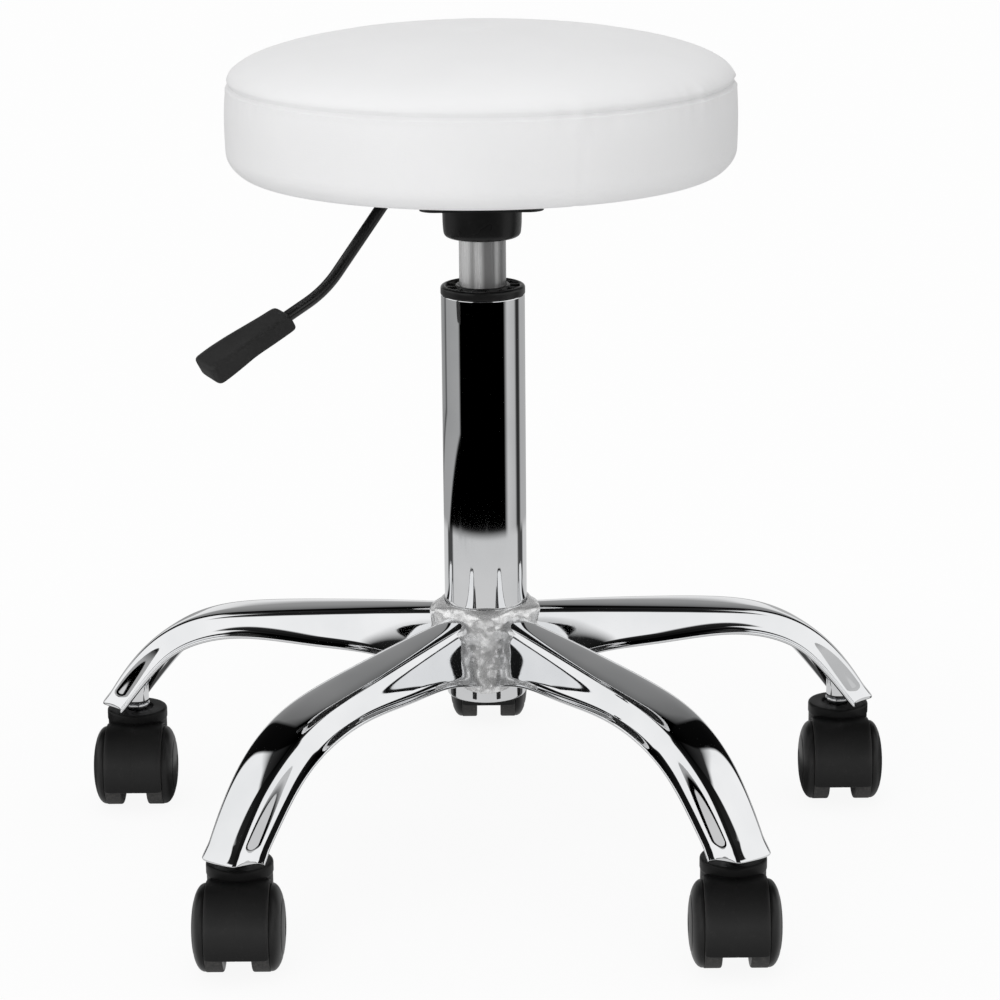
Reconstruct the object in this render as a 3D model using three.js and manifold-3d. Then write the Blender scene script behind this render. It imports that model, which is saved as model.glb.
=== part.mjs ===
// Rolling stylist stool: a chromed five-leg base on twin-wheel casters, a gas lift
// with a hand lever, and a round upholstered seat. Millimetres, +Z up. The origin is
// on the column's axis at floor level. Front is -Y, and the casters trail forwards.

import * as THREE from 'three';
import { mergeVertices } from 'three/addons/utils/BufferGeometryUtils.js';
import Module from 'manifold-3d';

const wasm = await Module();
wasm.setup();

// ---------------------------------------------------------------- driving dimensions

const GAP = 0.3; // clearance between neighbouring pieces

// Legs: the direction of each, in degrees from +X
const LEG_DIRECTIONS = {
  front_right: -54,
  right: 18,
  rear: 90,
  left: 162,
  front_left: 234,
};
const STEM_CIRCLE_R = 236;
const LEG_STEPS = 11;
// Each station joins a point of the crown line to one of the lower edge, both as
// [distance from the column's axis, height], with the half widths at the two.
const LEG_STATIONS = [
  { crown: [26, 146], edge: [26, 105], crownHalf: 10.5, edgeHalf: 18 },
  { crown: [60, 143.5], edge: [60, 115.5], crownHalf: 12.5, edgeHalf: 21 },
  { crown: [105, 139.5], edge: [103, 119.5], crownHalf: 14.5, edgeHalf: 24 },
  { crown: [150, 134.5], edge: [146, 121], crownHalf: 15.5, edgeHalf: 25 },
  { crown: [190, 125.5], edge: [180, 114.5], crownHalf: 15.2, edgeHalf: 24 },
  { crown: [218, 109], edge: [204, 101], crownHalf: 14.5, edgeHalf: 22.5 },
  { crown: [238, 88], edge: [222, 82], crownHalf: 13.5, edgeHalf: 21 },
  { crown: [255.5, 62], edge: [239, 60.5], crownHalf: 12.3, edgeHalf: 19.5 },
];
const HUB = { outerR: 30, bottom: 103, top: 151 };
const SOCKET = { outerR: 7.6, bottom: 62.2, top: 92 };

// Casters
const STEM = { r: 5.5, bottom: 34, top: 76, collarR: 8, collarTop: 61.8 };
const TRAIL = 18; // from the stem's axis to the axle
const WHEEL = { r: 25, sides: 24, inner: 8, shoulder: 18, face: 26.3, boreEnd: 23.4 };
const AXLE_R = 3;
const HOOD = { r: 27.2, wellR: 25.9, half: 18, webHalf: 7.4, lowEdge: 9.6, mouth: 31 };
const NECK = { r: 19, bottom: 38, top: 58 };

// Column and gas lift
const TUBE = { r: 25, wall: 1.8, bottom: 92, top: 341.5, floor: 98, floorTop: 101 };
const BUSH = { bottom: 262, top: 347, recess: 2 };
const ROD = { r: 5, bottom: 94, grooveR: 3.8, grooveTop: 97.7, head: 262, top: 274 };
const BEARING = { r: 11, top: 105.3, washerTop: 107.2, bufferTop: 112.3 };
const LIFT = { r: 14, wall: 2, bottom: 135, taperFrom: 380, taperR: 13.1, top: 401 };
const PIN = { r: 3, bottom: 376, top: 404.3 };

// Seat mechanism
const BOOT = { r: 23.75, bottom: 376, top: 399.6 };
const TAPER_SOCKET_R = 17;
const HOUSING = { halfX: 36, halfY: 55, wall: 2, corner: 9, bottom: 400, top: 413.4 };
const PLATE = { half: 82, corner: 14, bottom: 413.7, top: 416.2 };
const BOLT = { pitch: 120, r: 3, headR: 5.6, headHeight: 4, top: 427 };

// Lever, along its own direction: [distance from the column's axis, height]
const LEVER_DIRECTION = 205;
const LEVER = { r: 3.5, z: 408.1, pivot: 28, bossR: 4.9, bossHalf: 5, start: -4 };
const LEVER_BENDS = [
  [57, 408.1],
  [101, 352.6],
];
const LEVER_END = [143, 329.7];
const GRIP = { start: [125, 339.5], length: 58, nearHalf: 13.5, farHalf: 18.5, thick: 11 };
const GRIP_DROP = 28.6; // degrees below level
const GRIP_TILT = 12;

// Seat
const SEAT = { r: 151.6, bottom: 416.5, tuckR: 124, bottomRound: 14 };
const SEAM = { r: 150, z: 469.5 };
const CROWN = { top: 499, power: 2.2, flatR: 10 };
const COVER = 1.4;
const SEAT_SIDES = 36;
const BOARD = { r: 138, bottom: 418.3, top: 430.3 };

// ---------------------------------------------------------------- materials

function finish(color, roughness, metalness) {
  return new THREE.MeshStandardMaterial({ color, roughness, metalness });
}

const chrome = finish(0xd9dadc, 0.08, 1);
const satinSteel = finish(0xb9babd, 0.28, 1);
const blackSteel = finish(0x1b1b1d, 0.45, 0.4);
const blackNylon = finish(0x151516, 0.42, 0);
const greyPlastic = finish(0x3d3d40, 0.6, 0);
const rubber = finish(0x1a1a1a, 0.85, 0);
const plywood = finish(0xb58b5a, 0.7, 0);
const foam = finish(0xe6dcb0, 0.95, 0);
const leatherette = finish(0xe9e9ea, 0.5, 0);

// ---------------------------------------------------------------- helpers

const stool = new THREE.Group();

function add(parent, name, geometry, material) {
  const mesh = new THREE.Mesh(geometry, material);
  mesh.name = name;
  parent.add(mesh);
  return mesh;
}

// Revolves a profile of [radius, height] points, run anticlockwise, about the vertical.
function revolve(profile, sides = 24) {
  const points = profile.map(([r, z]) => new THREE.Vector2(r, z));
  return new THREE.LatheGeometry(points, sides).rotateX(Math.PI / 2);
}

function ring(profile, sides) {
  return revolve([...profile, profile[0]], sides);
}

function cylinder(r, bottom, top, sides = 24) {
  const geometry = new THREE.CylinderGeometry(r, r, top - bottom, sides);
  return geometry.rotateX(Math.PI / 2).translate(0, 0, (bottom + top) / 2);
}

function crossCylinder(r, fromX, toX, y, z, sides = 20) {
  const geometry = new THREE.CylinderGeometry(r, r, toX - fromX, sides);
  return geometry.rotateZ(Math.PI / 2).translate((fromX + toX) / 2, y, z);
}

function box(low, high) {
  const size = high.map((value, i) => value - low[i]);
  const centre = high.map((value, i) => (value + low[i]) / 2);
  return new THREE.BoxGeometry(...size).translate(...centre);
}

function roundedPlate(halfX, halfY, corner, bottom, top) {
  const shape = new THREE.Shape();
  const x = halfX - corner;
  const y = halfY - corner;
  const centres = [[x, y], [-x, y], [-x, -y], [x, -y]];
  centres.forEach(([cx, cy], quarter) => {
    const from = (quarter * Math.PI) / 2;
    shape.absarc(cx, cy, corner, from, from + Math.PI / 2);
  });
  const options = { depth: top - bottom, bevelEnabled: false, curveSegments: 4 };
  return new THREE.ExtrudeGeometry(shape, options).translate(0, 0, bottom);
}

function outline(points) {
  return new THREE.Shape(points.map(([x, y]) => new THREE.Vector2(x, y)));
}

function mirrored(points) {
  return points.map(([x, y]) => [-x, y]).reverse();
}

function solid(geometry) {
  const bare = geometry.clone();
  bare.deleteAttribute('normal');
  bare.deleteAttribute('uv');
  const merged = mergeVertices(bare);
  return new wasm.Manifold(
    new wasm.Mesh({
      numProp: 3,
      vertProperties: merged.attributes.position.array,
      triVerts: new Uint32Array(merged.index.array),
    }),
  );
}

function surface(body) {
  const mesh = body.getMesh();
  const geometry = new THREE.BufferGeometry();
  geometry.setAttribute('position', new THREE.BufferAttribute(mesh.vertProperties, 3));
  geometry.setIndex(new THREE.BufferAttribute(mesh.triVerts, 1));
  geometry.computeVertexNormals();
  return geometry;
}

function join(...geometries) {
  return surface(geometries.map(solid).reduce((body, other) => body.add(other)));
}

function cut(geometry, ...tools) {
  return surface(tools.map(solid).reduce((body, tool) => body.subtract(tool), solid(geometry)));
}

// ---------------------------------------------------------------- legs

function stationCurve(pick) {
  return new THREE.SplineCurve(LEG_STATIONS.map((s) => new THREE.Vector2(...pick(s))));
}

const crownLine = stationCurve((s) => s.crown);
const edgeLine = stationCurve((s) => s.edge);
const halfWidths = stationCurve((s) => [s.crownHalf, s.edgeHalf]);

// Carries a section along the leg. The section's x is the side, as a share of the
// half width, and its y is the height, from 0 at the lower edge to 1 at the crown.
function sweepLeg(section) {
  const options = { depth: 1, steps: LEG_STEPS, bevelEnabled: false };
  const geometry = new THREE.ExtrudeGeometry(section, options);
  const position = geometry.attributes.position;
  for (let i = 0; i < position.count; i += 1) {
    const side = position.getX(i);
    const height = position.getY(i);
    const along = position.getZ(i);
    const point = edgeLine.getPoint(along).lerp(crownLine.getPoint(along), height);
    const half = halfWidths.getPoint(along);
    position.setXYZ(i, point.x, side * (half.y + (half.x - half.y) * height), point.y);
  }
  return geometry;
}

// The leg is a pressed channel, open below, with rounded shoulders.
const OUTER_SIDE = [[1, 0], [1, 0.62], [0.92, 0.9], [0.62, 1]];
const INNER_SIDE = [[0.44, 0.86], [0.8, 0.64], [0.88, 0]];
const legSection = outline([
  ...OUTER_SIDE,
  ...mirrored(OUTER_SIDE),
  ...mirrored(INNER_SIDE),
  ...INNER_SIDE,
]);
// Everything above the channel's inner face, which trims the stem socket to fit.
const ROOF_SIDE = [[0.42, 0.82], [0.76, 0.6], [0.78, 0.4]];
const aboveLegInside = outline([
  [1.5, 0.4],
  [1.5, 1.8],
  [-1.5, 1.8],
  [-1.5, 0.4],
  ...mirrored(ROOF_SIDE),
  ...ROOF_SIDE,
]);

const legGeometry = cut(
  sweepLeg(legSection),
  cylinder(HUB.outerR + GAP, HUB.bottom - 5, HUB.top + 5, 32),
);

const socketGeometry = cut(
  cylinder(SOCKET.outerR, SOCKET.bottom, SOCKET.top, 16).translate(STEM_CIRCLE_R, 0, 0),
  cylinder(STEM.r + GAP, SOCKET.bottom - 1, SOCKET.top + 1, 12).translate(STEM_CIRCLE_R, 0, 0),
  sweepLeg(aboveLegInside),
);

const stemGeometry = revolve(
  [
    [0, STEM.bottom],
    [STEM.r, STEM.bottom],
    [STEM.r, NECK.top + GAP],
    [STEM.collarR, NECK.top + GAP],
    [STEM.collarR, STEM.collarTop],
    [STEM.r, STEM.collarTop],
    [STEM.r, STEM.top],
    [0, STEM.top],
  ],
  12,
);

// ---------------------------------------------------------------- casters

const AXLE = [-TRAIL, WHEEL.r]; // the axle's y and z, in the caster's own frame

function hoodBody() {
  const drum = crossCylinder(HOOD.r, -HOOD.half, HOOD.half, ...AXLE, 24);
  const neck = cylinder(NECK.r, NECK.bottom, NECK.top - 1.5, 20);
  const neckRim = new THREE.CylinderGeometry(NECK.r - 1.5, NECK.r, 1.5, 20);
  neckRim.rotateX(Math.PI / 2).translate(0, 0, NECK.top - 0.75);
  const reach = HOOD.r + 1;
  const side = HOOD.half + 1;
  const wells = [[HOOD.webHalf, side], [-side, -HOOD.webHalf]];
  return cut(
    join(drum, neck, neckRim),
    ...wells.map(([from, to]) => crossCylinder(HOOD.wellR, from, to, ...AXLE, 24)),
    ...wells.map(([from, to]) => box([from, -8, -1], [to, reach, HOOD.mouth])),
    box([-side, -TRAIL - reach, -5], [side, reach, HOOD.lowEdge]),
    cylinder(STEM.r + GAP, STEM.bottom - GAP, NECK.top + 1, 12),
    crossCylinder(AXLE_R + GAP, -side, side, ...AXLE, 10),
  );
}

// The wheel's outer face is a shallow dome that starts at the tread's shoulder.
function wheelBody() {
  const { r, sides, inner, shoulder, face, boreEnd } = WHEEL;
  const corner = 1 / Math.cos(Math.PI / sides); // so that the flats are r from the axle
  const dome = [0.3, 0.65].map((share) => {
    const turn = (share * Math.PI) / 2;
    return [r * Math.cos(turn) ** 0.8, shoulder + (face - shoulder) * Math.sin(turn) ** 0.8];
  });
  const profile = [
    [0, boreEnd],
    [AXLE_R + GAP, boreEnd],
    [AXLE_R + GAP, inner],
    [r, inner],
    [r, shoulder],
    ...dome,
    [0, face],
  ];
  const points = profile.map(([radius, x]) => new THREE.Vector2(radius * corner, x));
  return new THREE.LatheGeometry(points, sides);
}

const hoodGeometry = hoodBody();
const axleGeometry = crossCylinder(AXLE_R, -WHEEL.boreEnd + GAP, WHEEL.boreEnd - GAP, ...AXLE, 10);
const wheelGeometry = wheelBody();
const halfFlat = Math.PI / WHEEL.sides;

for (const [name, degrees] of Object.entries(LEG_DIRECTIONS)) {
  const turn = THREE.MathUtils.degToRad(degrees);

  const leg = new THREE.Group();
  leg.rotation.z = turn;
  stool.add(leg);
  add(leg, `leg_${name}`, legGeometry, chrome);
  add(leg, `stem_socket_${name}`, socketGeometry, chrome);

  const caster = new THREE.Group();
  caster.position.set(STEM_CIRCLE_R * Math.cos(turn), STEM_CIRCLE_R * Math.sin(turn), 0);
  stool.add(caster);
  add(caster, `caster_stem_${name}`, stemGeometry, chrome);
  add(caster, `caster_hood_${name}`, hoodGeometry, blackNylon);
  add(caster, `caster_axle_${name}`, axleGeometry, satinSteel);
  for (const [side, sign] of [['left', -1], ['right', 1]]) {
    const wheel = add(caster, `wheel_${side}_${name}`, wheelGeometry, blackNylon);
    wheel.position.set(0, ...AXLE);
    wheel.rotation.set(halfFlat, 0, (-sign * Math.PI) / 2);
  }
}

// ---------------------------------------------------------------- hub and column

add(
  stool,
  'hub',
  ring(
    [
      [TUBE.r + GAP, HUB.bottom],
      [HUB.outerR, HUB.bottom],
      [HUB.outerR, HUB.top - 2],
      [HUB.outerR - 2, HUB.top],
      [TUBE.r + GAP, HUB.top],
    ],
  ),
  chrome,
);

const tubeInnerR = TUBE.r - TUBE.wall;
const rodHoleR = ROD.r + GAP;

add(
  stool,
  'column_tube',
  ring(
    [
      [tubeInnerR - 1, TUBE.bottom],
      [TUBE.r - 1, TUBE.bottom],
      [TUBE.r, TUBE.bottom + 1.5],
      [TUBE.r, TUBE.top],
      [tubeInnerR, TUBE.top],
      [tubeInnerR, TUBE.floorTop],
      [rodHoleR, TUBE.floorTop],
      [rodHoleR, TUBE.floor],
      [tubeInnerR - 1, TUBE.floor],
    ],
  ),
  chrome,
);

const bushR = tubeInnerR - GAP;
const bushBoreR = LIFT.r + GAP;
const flangeBottom = TUBE.top + GAP;

add(
  stool,
  'guide_bush',
  ring([
    [bushBoreR, BUSH.bottom],
    [bushR, BUSH.bottom],
    [bushR, flangeBottom],
    [TUBE.r, flangeBottom],
    [TUBE.r, BUSH.top - 1],
    [TUBE.r - 1, BUSH.top],
    [TUBE.r - 3.4, BUSH.top],
    [TUBE.r - 4, BUSH.top - BUSH.recess],
    [bushBoreR + 2, BUSH.top - BUSH.recess],
    [bushBoreR + 1.6, BUSH.top],
    [bushBoreR, BUSH.top],
  ]),
  blackNylon,
);

function washer(name, innerR, outerR, bottom, top, material) {
  const profile = [[innerR, bottom], [outerR, bottom], [outerR, top], [innerR, top]];
  add(stool, name, ring(profile, 16), material);
}

washer('thrust_bearing', rodHoleR + 0.5, BEARING.r, TUBE.floorTop + GAP, BEARING.top, satinSteel);
washer('thrust_washer', rodHoleR, BEARING.r, BEARING.top + GAP, BEARING.washerTop, satinSteel);
washer('rubber_buffer', rodHoleR, BEARING.r - 1, BEARING.washerTop + GAP, BEARING.bufferTop, rubber);
washer('rod_clip', ROD.grooveR + GAP, 8, ROD.bottom + 1.4, TUBE.floor - 0.6, satinSteel);

add(
  stool,
  'piston_rod',
  revolve(
    [
      [0, ROD.bottom],
      [ROD.r - 1, ROD.bottom],
      [ROD.r, ROD.bottom + 0.6],
      [ROD.r, ROD.bottom + 1.1],
      [ROD.grooveR, ROD.bottom + 1.1],
      [ROD.grooveR, ROD.grooveTop],
      [ROD.r, ROD.grooveTop],
      [ROD.r, ROD.head],
      [LIFT.r - LIFT.wall - GAP - 0.1, ROD.head],
      [LIFT.r - LIFT.wall - GAP - 0.1, ROD.top],
      [0, ROD.top],
    ],
  ),
  satinSteel,
);

const liftInnerR = LIFT.r - LIFT.wall;
const pinHoleR = PIN.r + 0.4;

add(
  stool,
  'pressure_tube',
  ring([
    [rodHoleR, LIFT.bottom],
    [LIFT.r - 1, LIFT.bottom],
    [LIFT.r, LIFT.bottom + 1],
    [LIFT.r, LIFT.taperFrom],
    [LIFT.taperR, LIFT.top],
    [pinHoleR, LIFT.top],
    [pinHoleR, LIFT.taperFrom - 6],
    [liftInnerR, LIFT.taperFrom - 12],
    [liftInnerR, LIFT.bottom + 8],
    [rodHoleR, LIFT.bottom + 8],
  ]),
  satinSteel,
);

add(stool, 'release_pin', cylinder(PIN.r, PIN.bottom, PIN.top, 16), satinSteel);

// ---------------------------------------------------------------- seat mechanism

add(
  stool,
  'lift_boot',
  ring([
    [LIFT.r + 0.5, BOOT.bottom],
    [BOOT.r - 1.6, BOOT.bottom],
    [BOOT.r - 0.4, BOOT.bottom + 0.7],
    [BOOT.r, BOOT.bottom + 2],
    [BOOT.r, BOOT.top],
    [TAPER_SOCKET_R + 0.4, BOOT.top],
    [TAPER_SOCKET_R + 0.4, LIFT.taperFrom - 0.4],
    [LIFT.r + 0.5, LIFT.taperFrom - 0.4],
  ]),
  blackNylon,
);

add(
  stool,
  'taper_socket',
  ring([
    [LIFT.r + GAP, LIFT.taperFrom],
    [TAPER_SOCKET_R, LIFT.taperFrom],
    [TAPER_SOCKET_R, LIFT.top + 0.4],
    [LIFT.taperR + GAP, LIFT.top + 0.4],
  ]),
  blackSteel,
);

// The lever's frame: +X along the lever, +Z up, with its origin on the column's axis.
const leverTurn = THREE.MathUtils.degToRad(LEVER_DIRECTION);

function housingBody() {
  const { halfX, halfY, wall, corner, bottom, top } = HOUSING;
  const shell = roundedPlate(halfX, halfY, corner, bottom, top);
  const inside = roundedPlate(halfX - wall, halfY - wall, corner - wall, bottom + wall, top + 1);
  const leverHole = crossCylinder(LEVER.r + 2.2, 34, 70, 0, LEVER.z, 16).rotateZ(leverTurn);
  const pan = cut(
    shell,
    inside,
    cylinder(TAPER_SOCKET_R + GAP, bottom - 1, bottom + wall + 1),
    leverHole,
  );
  const earInner = LEVER.bossHalf + 1;
  const ears = [-1, 1].map((sign) => {
    const sides = [sign * earInner, sign * (earInner + 2.2)].sort((a, b) => a - b);
    const low = [LEVER.pivot - 5, sides[0], bottom + wall / 2];
    return box(low, [LEVER.pivot + 5, sides[1], top - 0.4]).rotateZ(leverTurn);
  });
  return cut(join(pan, ...ears), pivotCylinder(2.8, earInner + 4));
}

// A cylinder on the lever's pivot axis.
function pivotCylinder(r, half) {
  const geometry = new THREE.CylinderGeometry(r, r, 2 * half, 16);
  return geometry.translate(LEVER.pivot, 0, LEVER.z).rotateZ(leverTurn);
}

add(stool, 'mechanism_housing', housingBody(), blackSteel);
add(stool, 'lever_pivot_pin', pivotCylinder(2.5, 10.5), satinSteel);

const boltPlaces = [
  ['front_left', -1, -1],
  ['front_right', 1, -1],
  ['rear_left', -1, 1],
  ['rear_right', 1, 1],
].map(([name, sx, sy]) => [name, (sx * BOLT.pitch) / 2, (sy * BOLT.pitch) / 2]);

function boltHoles(bottom, top) {
  return boltPlaces.map(([, x, y]) => cylinder(BOLT.r + GAP, bottom, top, 12).translate(x, y, 0));
}

add(
  stool,
  'mounting_plate',
  cut(
    roundedPlate(PLATE.half, PLATE.half, PLATE.corner, PLATE.bottom, PLATE.top),
    ...boltHoles(PLATE.bottom - 1, PLATE.top + 1),
    box([38, -7, PLATE.bottom - 1], [120, 7, PLATE.top + 1]).rotateZ(leverTurn),
  ),
  blackSteel,
);

const boltHeadTop = PLATE.bottom - GAP;
const boltGeometry = join(
  cylinder(BOLT.headR, boltHeadTop - BOLT.headHeight, boltHeadTop, 6),
  cylinder(BOLT.r, boltHeadTop - 1, BOLT.top, 12),
);
for (const [name, x, y] of boltPlaces) {
  add(stool, `seat_bolt_${name}`, boltGeometry, satinSteel).position.set(x, y, 0);
}

// ---------------------------------------------------------------- lever

function leverPath() {
  const at = ([x, z]) => new THREE.Vector3(x, 0, z);
  const knots = [[LEVER.start, LEVER.z], ...LEVER_BENDS, LEVER_END].map(at);
  const path = new THREE.CurvePath();
  let from = knots[0];
  for (let i = 1; i < knots.length - 1; i += 1) {
    const before = knots[i].clone().lerp(knots[i - 1], 8 / knots[i].distanceTo(knots[i - 1]));
    const after = knots[i].clone().lerp(knots[i + 1], 8 / knots[i].distanceTo(knots[i + 1]));
    path.add(new THREE.LineCurve3(from, before));
    path.add(new THREE.QuadraticBezierCurve3(before, knots[i], after));
    from = after;
  }
  path.add(new THREE.LineCurve3(from, knots[knots.length - 1]));
  return path;
}

function leverRod() {
  const section = new THREE.Shape().absarc(0, 0, LEVER.r, 0, 2 * Math.PI);
  const options = { steps: 20, bevelEnabled: false, curveSegments: 4, extrudePath: leverPath() };
  const rod = new THREE.ExtrudeGeometry(section, options).rotateZ(leverTurn);
  return cut(join(rod, pivotCylinder(LEVER.bossR, LEVER.bossHalf)), pivotCylinder(2.8, 8));
}

// The grip is a fan-shaped paddle on the rod's end, with eased edges.
function leverGrip() {
  const { start, length, nearHalf, farHalf, thick } = GRIP;
  const bevel = 2;
  const near = nearHalf - bevel;
  const far = farHalf - bevel;
  const shape = new THREE.Shape();
  shape.moveTo(bevel, -near);
  shape.lineTo(length - 8, -far);
  shape.quadraticCurveTo(length - bevel, -far, length - bevel, 6 - far);
  shape.lineTo(length - bevel, far - 6);
  shape.quadraticCurveTo(length - bevel, far, length - 8, far);
  shape.lineTo(bevel, near);
  const options = {
    depth: thick - 2 * bevel,
    bevelThickness: bevel,
    bevelSize: bevel,
    bevelSegments: 2,
    curveSegments: 3,
  };
  const paddle = new THREE.ExtrudeGeometry(shape, options);
  paddle.translate(0, 0, bevel - thick / 2);
  paddle.rotateX(THREE.MathUtils.degToRad(-GRIP_TILT));
  const bore = crossCylinder(LEVER.r + GAP, -5, 22, 0, 0, 12);
  const grip = cut(paddle, bore);
  grip.rotateY(THREE.MathUtils.degToRad(GRIP_DROP));
  return grip.translate(start[0], 0, start[1]).rotateZ(leverTurn);
}

add(stool, 'lever_rod', leverRod(), blackSteel);
add(stool, 'lever_grip', leverGrip(), greyPlastic);

// ---------------------------------------------------------------- seat

add(
  stool,
  'seat_board',
  cut(
    cylinder(BOARD.r, BOARD.bottom, BOARD.top, SEAT_SIDES),
    ...boltHoles(BOARD.bottom - 1, BOARD.top + 1),
  ),
  plywood,
);

// The seat's crown, shrunk by the inset, from the seam in to the middle.
function crownProfile(inset) {
  const r = SEAM.r - inset;
  const rise = CROWN.top - inset - SEAM.z;
  const shares = [0.985, 0.94, 0.85, 0.7, 0.45];
  const points = shares.map((share) => {
    const height = (1 - share ** CROWN.power) ** (1 / CROWN.power);
    return [r * share, SEAM.z + rise * height];
  });
  return [...points, [CROWN.flatR, CROWN.top - inset], [0, CROWN.top - inset]];
}

// The seat's side, shrunk by the inset, from the underside up to the seam.
function sideProfile(inset) {
  const { r, bottom, bottomRound } = SEAT;
  const arc = [0, 0.33, 0.67, 1].map((share) => {
    const turn = ((share - 1) * Math.PI) / 2;
    const radius = bottomRound - inset;
    const centre = [r - 0.3 - bottomRound, bottom + bottomRound];
    return [centre[0] + radius * Math.cos(turn), centre[1] + radius * Math.sin(turn)];
  });
  const bulge = [[r - inset, bottom + 28], [r - 0.5 - inset, bottom + 42]];
  return [...arc, ...bulge, [SEAM.r - inset, SEAM.z - GAP]];
}

add(
  stool,
  'seat_cover_band',
  ring(
    [
      [SEAT.tuckR, SEAT.bottom],
      ...sideProfile(0),
      ...sideProfile(COVER).reverse(),
      [SEAT.tuckR, SEAT.bottom + COVER],
    ],
    SEAT_SIDES,
  ),
  leatherette,
);

function crownShell() {
  const outer = crownProfile(0);
  const inner = crownProfile(COVER).reverse();
  const hem = SEAM.z + GAP;
  return revolve([...inner, [SEAM.r - COVER, hem], [SEAM.r, hem], ...outer], SEAT_SIDES);
}

add(stool, 'seat_cover_top', crownShell(), leatherette);

const foamInset = COVER + GAP;
const foamSide = sideProfile(foamInset).slice(2);
const foamSkirt = foamSide[0][1];

add(
  stool,
  'seat_foam',
  revolve(
    [
      [0, BOARD.top + GAP],
      [BOARD.r + GAP, BOARD.top + GAP],
      [BOARD.r + GAP, foamSkirt],
      ...foamSide,
      ...crownProfile(foamInset),
    ],
    SEAT_SIDES,
  ),
  foam,
);

export default stool;
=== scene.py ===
"""A rolling stylist stool: its cushion, chromed base, casters, gas lift and lever, and a stage for it."""

import math

import bmesh
import bpy
import numpy as np
from mathutils import Matrix, Vector
from mathutils.bvhtree import BVHTree


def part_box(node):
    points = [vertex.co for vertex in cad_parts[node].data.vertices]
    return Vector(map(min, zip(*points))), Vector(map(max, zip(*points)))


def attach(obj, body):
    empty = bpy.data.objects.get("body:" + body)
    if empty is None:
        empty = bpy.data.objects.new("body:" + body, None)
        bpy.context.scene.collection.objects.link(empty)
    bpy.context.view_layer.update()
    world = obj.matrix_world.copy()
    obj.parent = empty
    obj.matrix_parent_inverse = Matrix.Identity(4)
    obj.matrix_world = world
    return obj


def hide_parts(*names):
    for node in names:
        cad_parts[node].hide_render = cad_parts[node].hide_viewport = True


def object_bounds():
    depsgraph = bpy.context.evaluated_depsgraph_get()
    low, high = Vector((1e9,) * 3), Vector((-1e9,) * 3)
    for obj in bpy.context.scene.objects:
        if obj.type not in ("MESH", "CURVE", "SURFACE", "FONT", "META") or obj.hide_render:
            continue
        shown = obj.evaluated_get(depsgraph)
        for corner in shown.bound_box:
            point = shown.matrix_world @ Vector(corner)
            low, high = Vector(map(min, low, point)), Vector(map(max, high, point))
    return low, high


bl_info = {
    "name": "Stylist Stool",
    "version": (1, 0, 0),
    "blender": (4, 5, 0),
    "location": "View3D > Sidebar > Stool",
    "description": "Builds a rolling stylist stool round its packed frame",
    "category": "Add Mesh",
}

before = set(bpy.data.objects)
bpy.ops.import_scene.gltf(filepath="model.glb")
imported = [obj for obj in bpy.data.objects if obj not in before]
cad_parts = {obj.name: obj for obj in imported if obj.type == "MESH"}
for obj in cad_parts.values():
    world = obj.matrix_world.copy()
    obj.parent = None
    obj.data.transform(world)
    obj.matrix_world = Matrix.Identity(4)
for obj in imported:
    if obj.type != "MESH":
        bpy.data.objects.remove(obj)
CAD_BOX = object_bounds()

MM = 0.001
MERGE_DISTANCE = 1e-7
SHARP_EDGE = math.radians(42)
LEGS = {"front_right": -54, "right": 18, "rear": 90, "left": 162, "front_left": 234}


# ---------------------------------------------------------------- places, from the frame


def low(node):
    """The lowest corner of a CAD node, in metres."""
    return np.array(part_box(node)[0])


def high(node):
    """The highest corner of a CAD node, in metres."""
    return np.array(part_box(node)[1])


def middle(node):
    """The middle of a CAD node's box, in metres."""
    return (low(node) + high(node)) / 2


def radius(node):
    """Half the width of a CAD node that is round about the vertical."""
    return (high(node)[0] - low(node)[0]) / 2


# ---------------------------------------------------------------- numbers and curves


def smooth(x, start, end):
    """A soft step from 0 at start to 1 at end: 3 t^2 - 2 t^3, with t the share of the way, held in 0 to 1."""
    t = np.clip((x - start) / (end - start), 0, 1)
    return t * t * (3 - 2 * t)


def boxy(wave, power):
    """A wave made squarer: its sign times its size to a power below 1."""
    return np.sign(wave) * np.abs(wave) ** power


def lengths(line):
    """How far along a line each of its points is."""
    return np.concatenate([[0], np.cumsum(np.linalg.norm(np.diff(line, axis=0), axis=1))])


def spline(knots, shares):
    """Points on the natural cubic spline through the knots.

    The knots are spaced by chord length, and their second differences M solve
    h0 M0 + 2 (h0 + h1) M1 + h1 M2 = 6 (slope1 - slope0), with M zero at both ends.
    """
    knots = np.asarray(knots, float)
    at = lengths(knots[:, :2])
    at /= at[-1]
    h = np.diff(at)
    slope = np.diff(knots, axis=0) / h[:, None]
    matrix = np.eye(len(knots))
    target = np.zeros_like(knots)
    inner = np.arange(1, len(knots) - 1)
    matrix[inner, inner - 1] = h[:-1]
    matrix[inner, inner] = 2 * (h[:-1] + h[1:])
    matrix[inner, inner + 1] = h[1:]
    target[inner] = 6 * np.diff(slope, axis=0)
    bend = np.linalg.solve(matrix, target)
    i = np.clip(np.searchsorted(at, shares, side="right") - 1, 0, len(h) - 1)
    left = (shares - at[i])[:, None]
    right = (at[i + 1] - shares)[:, None]
    width = h[i][:, None]
    return (
        (bend[i] * right**3 + bend[i + 1] * left**3) / (6 * width)
        + (knots[i] / width - bend[i] * width / 6) * right
        + (knots[i + 1] / width - bend[i + 1] * width / 6) * left
    )


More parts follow.
